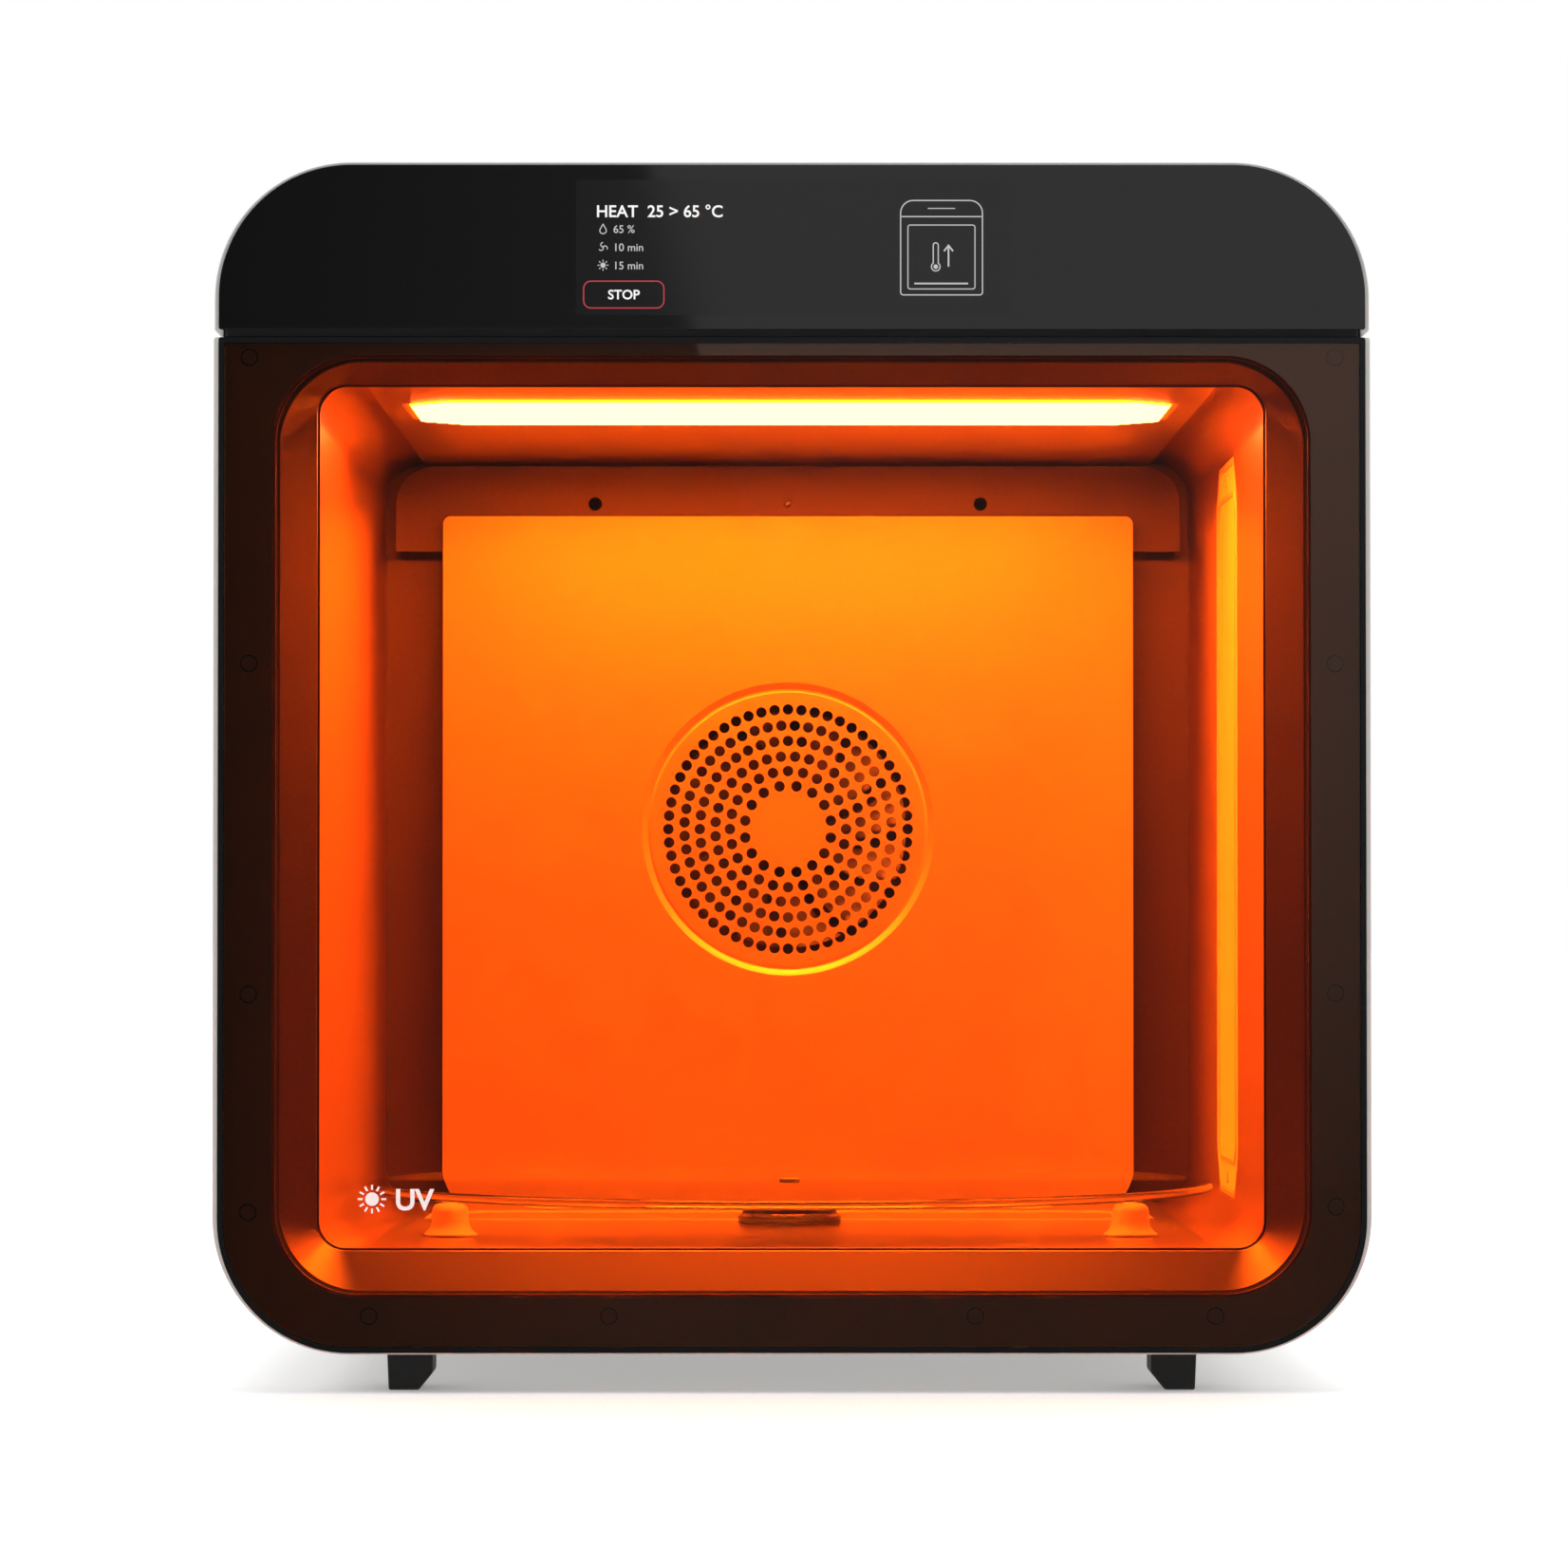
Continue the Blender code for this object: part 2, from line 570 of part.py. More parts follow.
def fan_rotor(name, look, centre, hub_radius, tip_radius, depth, blades, shaft_end=None):
    """A hub with pitched blades, turning about +Y, with its origin on the axis."""
    centre = Vector(centre)
    half = Vector((0, depth / 2, 0))
    rotor = place(name, rod(centre - half, centre + half, hub_radius, 32), look, centre)
    blade_thickness = 0.0016
    shapes = []
    for k in range(blades):
        blade = block((hub_radius * 0.8, -depth * 0.45, -blade_thickness / 2),
                      (tip_radius, depth * 0.45, blade_thickness / 2))
        turn_solid(blade, math.radians(38), "X", (0, 0, 0))
        turn_solid(blade, k * math.tau / blades, "Y", (0, 0, 0))
        bmesh.ops.translate(blade, vec=centre, verts=blade.verts)
        shapes.append(blade)
    join(rotor, *shapes)
    if shaft_end is not None:
        join(rotor, rod(centre, (centre.x, shaft_end, centre.z), 0.003, 16))


def fans_and_heater(looks):
    """Hot-air impeller with its motor and ring heater, and the cooling fan on the rear panel."""
    motor_front = BACK_WALL_Y + LINER_WALL + GAP
    fan_rotor("fan_impeller", looks["aluminium"], (0, 0.215, FAN_Z), 0.022, 0.062, 0.020, 9,
              motor_front - GAP)
    motor = place("fan_motor", rod((0, motor_front, FAN_Z), (0, motor_front + 0.034, FAN_Z), 0.030, 32),
                  looks["steel"])
    join(motor, block((-0.042, motor_front, FAN_Z - 0.008), (0.042, motor_front + 0.002, FAN_Z + 0.008)))
    heater_y = 0.2365
    ring_radius = 0.085
    lead_x = 0.015
    bpy.ops.mesh.primitive_torus_add(major_radius=ring_radius, minor_radius=0.004, major_segments=48,
                                     minor_segments=8, location=(0, heater_y, FAN_Z),
                                     rotation=(math.pi / 2, 0, 0))
    heater = bpy.context.object
    heater.name = "heater_coil"
    bpy.ops.object.transform_apply(location=False, rotation=True, scale=False)
    for collection in list(heater.users_collection):
        collection.objects.unlink(heater)
    parts.objects.link(heater)
    heater.data.materials.append(looks["steel"])
    heater.data.shade_smooth()
    lead_z = FAN_Z - math.sqrt(ring_radius ** 2 - lead_x ** 2)
    join(heater, *[rod((x, heater_y, lead_z), (x, BACK_WALL_Y - GAP, lead_z), 0.002, 12)
                   for x in (-lead_x, lead_x)])

    half = COOLING_FAN_SIZE / 2
    rear = REAR_PANEL_Y[0] - GAP
    front = rear - 0.015
    solid = block((COOLING_FAN_X - half, front, COOLING_FAN_Z - half),
                  (COOLING_FAN_X + half, rear, COOLING_FAN_Z + half))
    frame = place("cooling_fan_frame", round_edges(solid, "Y", 0.004, 3), looks["dark_plastic"])
    cut(frame, rod((COOLING_FAN_X, front - THROUGH, COOLING_FAN_Z),
                   (COOLING_FAN_X, rear + THROUGH, COOLING_FAN_Z), COOLING_FAN_TIP + 0.0013, 40))
    strut_y = (rear - 0.0025, rear)
    struts = []
    for k in range(3):
        strut = block((0.008, strut_y[0], -0.0012), (0.0290, strut_y[1], 0.0012))
        turn_solid(strut, math.radians(30 + k * 120), "Y", (0, 0, 0))
        bmesh.ops.translate(strut, vec=(COOLING_FAN_X, 0, COOLING_FAN_Z), verts=strut.verts)
        struts.append(strut)
    join(frame, *struts)
    join(frame, rod((COOLING_FAN_X, strut_y[0] - GAP, COOLING_FAN_Z),
                    (COOLING_FAN_X, strut_y[1], COOLING_FAN_Z), 0.012, 24))
    fan_rotor("cooling_fan_rotor", looks["dark_plastic"], (COOLING_FAN_X, rear - 0.0085, COOLING_FAN_Z),
              0.0125, COOLING_FAN_TIP, 0.0105, 7)


# ---- door ---------------------------------------------------------------------------------------

def across(x, half_length, radius):
    """A rod on the door's hinge axis, centred at x."""
    return rod((x - half_length, HINGE_Y, HINGE_Z), (x + half_length, HINGE_Y, HINGE_Z), radius, 16)


def door(looks):
    """Drop-down door: an amber sheet set in a frame as wide as the casing, a magnetic seal and two pins.
    The frame's lower rear edge is chamfered, so that it clears the casing as the door turns."""
    axis_point = (0, HINGE_Y, HINGE_Z)
    sheet_half = FACE_HALF - RIM - GAP
    sheet_z = (DOOR_Z[0] + RIM + GAP, DOOR_Z[1] - RIM - GAP)
    sheet = block((-sheet_half, FRONT, sheet_z[0]), (sheet_half, FRONT + SHEET, sheet_z[1]))
    round_edges(sheet, "Y", FACE_CORNER - RIM - GAP, 8, lower(0.2))
    place("door_window", sheet, looks["amber"], axis_point)

    bottom = SHELL_BOTTOM + GAP
    body = block((-WIDTH / 2, FRONT, bottom), (WIDTH / 2, DOOR_BACK, DOOR_Z[1]))
    round_edges(body, "Y", CORNER, 8, lower(0.2))
    frame = place("door_frame", body, looks["black_plastic"], axis_point)
    chamfer_half = DOOR_CHAMFER / math.sqrt(2)
    chamfer = block((-WIDTH, DOOR_BACK - chamfer_half, bottom - chamfer_half),
                    (WIDTH, DOOR_BACK + chamfer_half, bottom + chamfer_half))
    cut(frame, turn_solid(chamfer, math.pi / 4, "X", (0, DOOR_BACK, bottom)))
    pocket = block((-sheet_half - GAP, FRONT - THROUGH, sheet_z[0] - GAP),
                   (sheet_half + GAP, FRONT + SHEET + GAP, sheet_z[1] + GAP))
    round_edges(pocket, "Y", FACE_CORNER - RIM, 8, lower(0.2))
    cut(frame, pocket)
    view = block((-VIEW_HALF, FRONT - THROUGH, VIEW_Z[0]), (VIEW_HALF, DOOR_BACK + THROUGH, VIEW_Z[1]))
    round_edges(view, "Y", VIEW_CORNER, 7)
    cut(frame, view)
    notch_half = HINGE_ARM_WIDTH / 2 + 0.001
    notch_reach = KNUCKLE_RADIUS + 0.0007
    notches = []
    bores = []
    for side in (-1, 1):
        x = side * HINGE_X
        notches.append(block((x - notch_half, HINGE_Y - notch_reach, DOOR_Z[0] - THROUGH),
                             (x + notch_half, DOOR_BACK + THROUGH, HINGE_Z + notch_reach)))
        bores.append(across(x, HINGE_PIN_HALF + GAP, HINGE_PIN_RADIUS + GAP))
    cut(frame, *notches)
    cut(frame, *bores)

    seal_y = (DOOR_BACK + GAP, BEZEL_FRONT - GAP)
    seal_half = 0.2315
    seal_corner = 0.040
    seal_z = (0.0383, 0.4577)
    seal_width = 0.003
    ring = block((-seal_half, seal_y[0], seal_z[0]), (seal_half, seal_y[1], seal_z[1]))
    seal = place("door_seal", round_edges(ring, "Y", seal_corner, 7), looks["rubber"], axis_point)
    inner = block((-seal_half + seal_width, seal_y[0] - THROUGH, seal_z[0] + seal_width),
                  (seal_half - seal_width, seal_y[1] + THROUGH, seal_z[1] - seal_width))
    cut(seal, round_edges(inner, "Y", seal_corner - seal_width, 7))


def hinges(look):
    """Two arms bolted to the base tray, which reach into the door, and the door's two pins."""
    arm_half = HINGE_ARM_WIDTH / 2
    arm_low = BASE_TRAY_Z[1] + GAP
    arm_high = 2 * HINGE_Z - arm_low
    arm_rear = -0.235
    for name, x in (("left", -HINGE_X), ("right", HINGE_X)):
        place(f"hinge_pin_{name}", across(x, HINGE_PIN_HALF, HINGE_PIN_RADIUS), look, (x, HINGE_Y, HINGE_Z))
        bar = block((x - arm_half, HINGE_Y, arm_low), (x + arm_half, arm_rear, arm_high))
        arm = place(f"hinge_arm_{name}", bar, look)
        join(arm, across(x, arm_half, KNUCKLE_RADIUS))
        cut(arm, across(x, arm_half + THROUGH, HINGE_PIN_RADIUS + GAP))


# ---- turntable ----------------------------------------------------------------------------------

def turntable(looks):
    """Glass disc on a clear hub, turned by a gear motor."""
    centre = TABLE_CENTRE
    glass = rod(centre + Vector((0, 0, GLASS_Z[0])), centre + Vector((0, 0, GLASS_Z[1])), GLASS_RADIUS, 72)
    rim = [edge for edge in glass.edges if abs(edge.verts[0].co.z - edge.verts[1].co.z) < 1e-6]
    bmesh.ops.bevel(glass, geom=rim, offset=0.0013, offset_type="OFFSET", segments=1, profile=0.5,
                    affect="EDGES")
    place("turntable_glass", glass, looks["glass"], centre)

    def upright(low, high, radius, sides):
        return rod(centre + Vector((0, 0, low)), centre + Vector((0, 0, high)), radius, sides)

    motor_top = 0.0555
    hub = place("turntable_hub", upright(FLOOR_Z + GAP, GLASS_Z[0] - GAP, HUB_RADIUS, 40),
                looks["glass"], centre)
    join(hub, upright(motor_top + GAP, FLOOR_Z + 0.004, 0.004, 20))
    place("turntable_motor", upright(BASE_TRAY_Z[1] + GAP, motor_top, 0.0185, 32), looks["steel"])


def rollers(look):
    """Four rollers under the glass disc's rim, each a wheel with its axle in a domed mount."""
    base_z = FLOOR_Z + GAP
    dome_top = GLASS_Z[0] - 0.0010
    profile = ((0.0, dome_top), (0.0060, dome_top), (0.0085, dome_top - 0.0025), (0.0085, base_z + 0.0060),
               (0.0125, base_z + 0.0020), (0.0125, base_z), (0.0, base_z))
    slot_half = WHEEL_WIDTH / 2 + 0.0004
    axle_radius = 0.00125
    axle_half = 0.0065
    for name, degrees in ROLLER_ANGLES.items():
        angle = math.radians(degrees)
        outward = Vector((math.cos(angle), math.sin(angle), 0.0))
        spot = TABLE_CENTRE + outward * ROLLER_TRACK
        hub_point = spot + Vector((0, 0, WHEEL_Z))
        mount = turned(f"roller_mount_{name}", profile, look, spot, 24)
        slot = block((-slot_half, -0.02, WHEEL_Z - WHEEL_RADIUS - 0.0005),
                     (slot_half, 0.02, dome_top + THROUGH))
        turn_solid(slot, angle, "Z", (0, 0, 0))
        bmesh.ops.translate(slot, vec=spot, verts=slot.verts)
        cut(mount, slot)
        bore_reach = outward * (axle_half + GAP)
        cut(mount, rod(hub_point - bore_reach, hub_point + bore_reach, axle_radius + GAP, 12))
        half = outward * WHEEL_WIDTH / 2
        wheel = place(f"roller_wheel_{name}", rod(hub_point - half, hub_point + half, WHEEL_RADIUS, 24),
                      look, hub_point)
        join(wheel, rod(hub_point - outward * axle_half, hub_point + outward * axle_half, axle_radius, 12))


# ---- mains inlet and switch ---------------------------------------------------------------------

def inlet_and_switch(looks):
    """Three-pin inlet and a rocker switch on the rear panel."""
    face = REAR_PANEL_Y[1] + GAP
    x, z = INLET_X, INLET_Z
    flange = block((x - 0.0200, face, z - 0.0125), (x + 0.0200, face + 0.0018, z + 0.0125))
    inlet = place("power_inlet", round_edges(flange, "Y", 0.003, 3), looks["black_plastic"])
    join(inlet, block((x - 0.0135, 0.268, z - 0.0100), (x + 0.0135, face + 0.0009, z + 0.0100)))
    socket_floor = 0.2745
    cut(inlet, block((x - 0.0115, socket_floor, z - 0.0070), (x + 0.0115, face + THROUGH, z + 0.0070)))
    pins = []
    for pin_x, pin_z in ((x - 0.007, z - 0.0015), (x, z + 0.0020), (x + 0.007, z - 0.0015)):
        pins.append(block((pin_x - 0.001, socket_floor - 0.001, pin_z - 0.002),
                          (pin_x + 0.001, 0.288, pin_z + 0.002)))
    join(inlet, *pins)

    x = SWITCH_X
    flange = block((x - 0.0125, face, z - 0.0165), (x + 0.0125, face + 0.0010, z + 0.0165))
    housing = place("switch_housing", round_edges(flange, "Y", 0.001, 1), looks["black_plastic"])
    join(housing, block((x - 0.0097, 0.2735, z - 0.0137), (x + 0.0097, face + 0.0005, z + 0.0137)))
    pivot = Vector((x, SWITCH_PIVOT_Y, z))
    rocker_radius = 0.0095
    rocker_half = Vector((0.006, 0, 0))
    pocket_half = Vector((0.0065, 0, 0))
    cut(housing, rod(pivot - pocket_half, pivot + pocket_half, rocker_radius + GAP, 32))
    rocker = place("power_switch", rod(pivot - rocker_half, pivot + rocker_half, rocker_radius, 32),
                   looks["black_plastic"], pivot)
    face_y = pivot.y + 0.0063
    for side in (-1, 1):
        near, far = sorted((0.0, side * 0.02))
        wedge = block((x - THROUGH, face_y, z + near), (x + THROUGH, face_y + THROUGH, z + far))
        turn_solid(wedge, -side * SWITCH_TILT, "X", (x, face_y, z))
        cut(rocker, wedge)
    rocker.rotation_euler = (-SWITCH_TILT, 0, 0)


def main():
    """Build every sub-part."""
    start_scene()
    looks = {
        "shell": material("light_grey_shell", (0.60, 0.585, 0.55), 0.45),
        "gloss_black": material("gloss_black", (0.012, 0.013, 0.014), 0.08),
        "black_plastic": material("black_plastic", (0.014, 0.014, 0.015), 0.35),
        "dark_plastic": material("dark_plastic", (0.03, 0.03, 0.032), 0.5),
        "sheet_metal": material("painted_sheet_metal", (0.45, 0.45, 0.44), 0.5, 0.3),
        "mirror": material("polished_steel", (0.80, 0.79, 0.77), 0.18, 1.0),
        "steel": material("steel", (0.55, 0.55, 0.55), 0.3, 1.0),
        "aluminium": material("aluminium", (0.75, 0.75, 0.75), 0.35, 1.0),
        "frosted": material("lit_frosted_glass", (1.0, 0.95, 0.80), 0.6, glow=4.0),
        "amber": material("amber_acrylic", (0.75, 0.22, 0.02), 0.05, transmission=0.9),
        "glass": material("clear_glass", (0.95, 0.97, 0.96), 0.03, transmission=1.0),
        "white_plastic": material("white_plastic", (0.80, 0.79, 0.75), 0.4),
        "white_board": material("white_board", (0.80, 0.80, 0.78), 0.6),
        "green_board": material("green_board", (0.02, 0.16, 0.07), 0.5),
        "rubber": material("black_rubber", (0.02, 0.02, 0.02), 0.8),
    }
    lower_shell(looks["shell"])
    top_cover(looks["shell"])
    rear_panel(looks["sheet_metal"])
    trays(looks["sheet_metal"])
    front_bezel(looks["sheet_metal"])
    fascia_and_display(looks)
    feet(looks["rubber"])
    liner_panels(looks["mirror"])
    back_wall_and_cover(looks)
    led_units(looks)
    fans_and_heater(looks)
    door(looks)
    hinges(looks["steel"])
    turntable(looks)
    rollers(looks["white_plastic"])
    inlet_and_switch(looks)


main()
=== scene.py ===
import math

import bmesh
import bpy
from mathutils import Matrix, Vector


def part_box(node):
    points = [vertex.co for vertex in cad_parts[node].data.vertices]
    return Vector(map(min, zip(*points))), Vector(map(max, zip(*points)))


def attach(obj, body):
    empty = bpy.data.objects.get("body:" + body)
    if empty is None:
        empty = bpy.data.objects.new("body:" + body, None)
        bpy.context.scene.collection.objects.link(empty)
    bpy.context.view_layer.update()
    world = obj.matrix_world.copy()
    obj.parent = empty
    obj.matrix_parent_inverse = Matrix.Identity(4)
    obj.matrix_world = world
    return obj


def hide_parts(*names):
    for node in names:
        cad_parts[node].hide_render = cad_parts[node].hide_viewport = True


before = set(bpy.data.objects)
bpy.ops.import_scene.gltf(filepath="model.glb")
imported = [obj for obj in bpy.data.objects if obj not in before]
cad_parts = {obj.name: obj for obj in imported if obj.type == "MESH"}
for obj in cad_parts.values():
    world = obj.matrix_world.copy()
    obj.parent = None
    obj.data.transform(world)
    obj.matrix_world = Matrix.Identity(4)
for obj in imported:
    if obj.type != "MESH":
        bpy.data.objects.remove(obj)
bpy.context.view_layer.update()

# The visible surface of a bench-top UV and heat post-cure oven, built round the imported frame.
# Pieces are in millimetres, +Z up, front towards -Y, and their vertices are made in metres.
# Places are read from the frame's boxes. The camera, the stage and the lights are in metres.

MM = 0.001
WHITE = (1, 1, 1, 1)


# ---- camera, stage and light ----

CAMERA_AT = (-0.0115, -2.975, 0.2096)
CAMERA_PITCH = math.radians(1.22)
CAMERA_YAW = math.radians(-0.17)
LENS = 140.6
WORLD_STRENGTH = 0.95
DARK_SIDES = (-0.10, -0.02)
DARK_STRENGTHS = (0.06, 0.20)
DARK_CONE = (-0.80, -0.35)
OVERHEAD_STRENGTH = 1.15
FLOOR_GLOW = 0.22
CARD_AT = (1.477, -3.5, 0.755)
CARD_SIZE = (3, 5, 1)
CARD_FADE = (-0.040, 0.114)
CARD_STRENGTHS = (0.57, 0.15)
CARD_TILT = math.radians(-15.1)
LIT_POINT = Vector((0, 0, 0.3))
SOFT_BOXES = {  # place, size, power
    "key_left": ((-2.6, -1.6, 2.2), (1.6, 1.6), 34),
    "key_right": ((2.6, -1.2, 1.8), (1.6, 1.6), 24),
    "rear": ((0.6, 3.2, 1.8), (2, 1.6), 26),
}


def added(name, data):
    """A new object in the scene."""
    item = bpy.data.objects.new(name, data)
    bpy.context.scene.collection.objects.link(item)
    return item


def camera():
    """A long lens, nearly square on to the front."""
    data = bpy.data.cameras.new("camera")
    data.sensor_width = 36
    data.lens = LENS
    data.clip_end = 200
    item = added("camera", data)
    item.location = CAMERA_AT
    item.rotation_euler = (math.pi / 2 + CAMERA_PITCH, 0, CAMERA_YAW)
    bpy.context.scene.camera = item


def surround():
    """A white surround with a dark area in front, which the glossy front mirrors."""
    world = bpy.data.worlds.new("surround")
    bpy.context.scene.world = world
    world.use_nodes = True
    tree = world.node_tree
    white = feed(tree, tree.nodes["Background"], Color=WHITE, Strength=1)
    way = node(tree, "SeparateXYZ", Vector=node(tree, "TexCoord").outputs["Generated"]).outputs
    dark = node(tree, "Background", Strength=ranged(tree, way["X"], *DARK_SIDES, *DARK_STRENGTHS))
    bright = node(tree, "Background", Strength=WORLD_STRENGTH)
    mirrored = mixed(tree, ranged(tree, way["Y"], *DARK_CONE), dark, bright)
    seen = mixed(tree, node(tree, "LightPath").outputs["Is Camera Ray"], mirrored, white)
    feed(tree, tree.nodes["World Output"], Surface=seen.outputs["Shader"])


def stage_sheet(name, size, look):
    """A flat sheet of the stage."""
    grid = bmesh.new()
    bmesh.ops.create_grid(grid, x_segments=8, y_segments=8, size=size)
    item = mesh_object(name, grid, look)
    return item


def studio():
    """A pale floor, the surround and soft boxes. The slanted card is what the glossy front mirrors."""
    surround()
    bpy.context.scene.view_settings.view_transform = "Standard"
    paper = material("floor_paper", (0.90, 0.90, 0.90), 0.9, vary=0.01, grain=40,
                     Emission_Strength=FLOOR_GLOW, Emission_Color=WHITE)
    floor = stage_sheet("floor", 30, paper)
    floor.visible_glossy = False
    floor.visible_transmission = False
    for name, (place, size, power) in SOFT_BOXES.items():
        data = bpy.data.lights.new(name, "AREA")
        data.shape = "RECTANGLE"
        data.size, data.size_y = size
        data.energy = power
        item = added(name, data)
        item.location = place
        item.rotation_euler = (LIT_POINT - Vector(place)).to_track_quat("-Z", "Y").to_euler()
    data = bpy.data.lights.new("overhead", "SUN")
    data.energy = OVERHEAD_STRENGTH
    data.angle = math.radians(50)
    added("overhead", data).rotation_euler = (math.radians(-12), 0, 0)
    card = stage_sheet("front_card", 0.5, card_glow())
    card.scale = CARD_SIZE
    card.location = CARD_AT
    card.rotation_euler = (math.radians(-90), CARD_TILT, 0)
    card.visible_camera = False
    card.visible_shadow = False
    card.visible_diffuse = False


def card_glow():
    """Paper lit from above: bright at the top, fading downwards."""
    made, tree, _ = new_material("card_glow")
    place = node(tree, "SeparateXYZ", Vector=node(tree, "TexCoord").outputs["Object"]).outputs["Y"]
    glow = node(tree, "Emission", Strength=ranged(tree, place, *CARD_FADE, *CARD_STRENGTHS))
    feed(tree, tree.nodes["Material Output"], Surface=glow.outputs["Emission"])
    return made


# ---- materials ----

PATTERN = (0.3, 0.7)    # the part of a noise pattern's range that is used


def feed(tree, item, **inputs):
    """Set a shader node's inputs, each to a value or to another node's output."""
    for name, value in inputs.items():
        socket = item.inputs[name.replace("_", " ")]
        if isinstance(value, bpy.types.NodeSocket):
            tree.links.new(value, socket)
        else:
            socket.default_value = value
    return item


def node(tree, kind, **inputs):
    """A new shader node with its inputs set."""
    return feed(tree, tree.nodes.new("ShaderNode" + kind), **inputs)


def mixed(tree, factor, first, second):
    """Two shaders mixed by a factor."""
    made = node(tree, "MixShader", Fac=factor)
    tree.links.new(first.outputs[0], made.inputs[1])
    tree.links.new(second.outputs[0], made.inputs[2])
    return made


def noise(tree, scale, detail=3):
    """A noise pattern fixed to the object."""
    place = node(tree, "TexCoord").outputs["Object"]
    return node(tree, "TexNoise", Vector=place, Scale=scale, Detail=detail).outputs["Fac"]


def ranged(tree, source, start, end, low=0, high=1):
    """A value mapped from one range on to another."""
    made = node(tree, "MapRange", Value=source, From_Min=start, From_Max=end, To_Min=low, To_Max=high)
    return made.outputs["Result"]


def ramp(tree, pattern, colours, places=(0, 1)):
    """A pattern turned into colours between two."""
    made = node(tree, "ValToRGB", Fac=pattern)
    for stop, colour, place in zip(made.color_ramp.elements, colours, places):
        stop.position = place
        stop.color = (*colour, 1)
    return made.outputs["Color"]


def new_material(name):
    """A material, its node tree and its main shader."""
    made = bpy.data.materials.new(name)
    made.use_nodes = True
    return made, made.node_tree, made.node_tree.nodes["Principled BSDF"]


def material(name, colour, rough, metallic=0, vary=0.03, grain=60, rough_vary=0.05, bump=0,
             bump_grain=900, bump_depth=0.03, **inputs):
    """A Principled material whose colour, roughness and relief vary by noise."""
    made, tree, shader = new_material(name)
    colours = [[min(1, max(0, c * tone)) for c in colour] for tone in (1 - vary, 1 + vary)]
    feed(tree, shader, Metallic=metallic, Base_Color=ramp(tree, noise(tree, grain, 4), colours, PATTERN),
         Roughness=ranged(tree, noise(tree, grain * 0.4, 5), *PATTERN, max(0, rough - rough_vary),
                          min(1, rough + rough_vary)), **inputs)
    if bump:
        height = noise(tree, bump_grain, 2)
        relief = node(tree, "Bump", Strength=bump, Distance=bump_depth * MM, Height=height)
        feed(tree, shader, Normal=relief.outputs["Normal"])
    return made


def clear(name, tint, roughness, ior, lamp_tint, painted_glow=0):
    """A clear material that lets lamplight through it, with an even white glow if wanted: painted light in
    place of the light the sheet reflects and scatters.
    """
    made, tree, shader = new_material(name)
    smudge = ranged(tree, noise(tree, 9, 5), *PATTERN, roughness, roughness + 0.015)
    feed(tree, shader, Base_Color=(*tint, 1), Transmission_Weight=1, Emission_Color=WHITE,
         Emission_Strength=painted_glow, IOR=ior, Roughness=smudge)
    through = node(tree, "BsdfTransparent", Color=(*lamp_tint, 1))
    seen = mixed(tree, node(tree, "LightPath").outputs["Is Shadow Ray"], shader, through)
    feed(tree, tree.nodes["Material Output"], Surface=seen.outputs["Shader"])
    return made


def lit(name, colour, strength, base=0.02):
    """A frosted surface lit from behind, a little uneven."""
    made, tree, shader = new_material(name)
    streak, grain = 0.06, 25
    glow = ramp(tree, noise(tree, grain), ([c * (1 - streak) for c in colour], colour))
    feed(tree, shader, Base_Color=(base, base, base, 1), Roughness=0.5, Emission_Strength=strength,
         Emission_Color=glow)
    return made


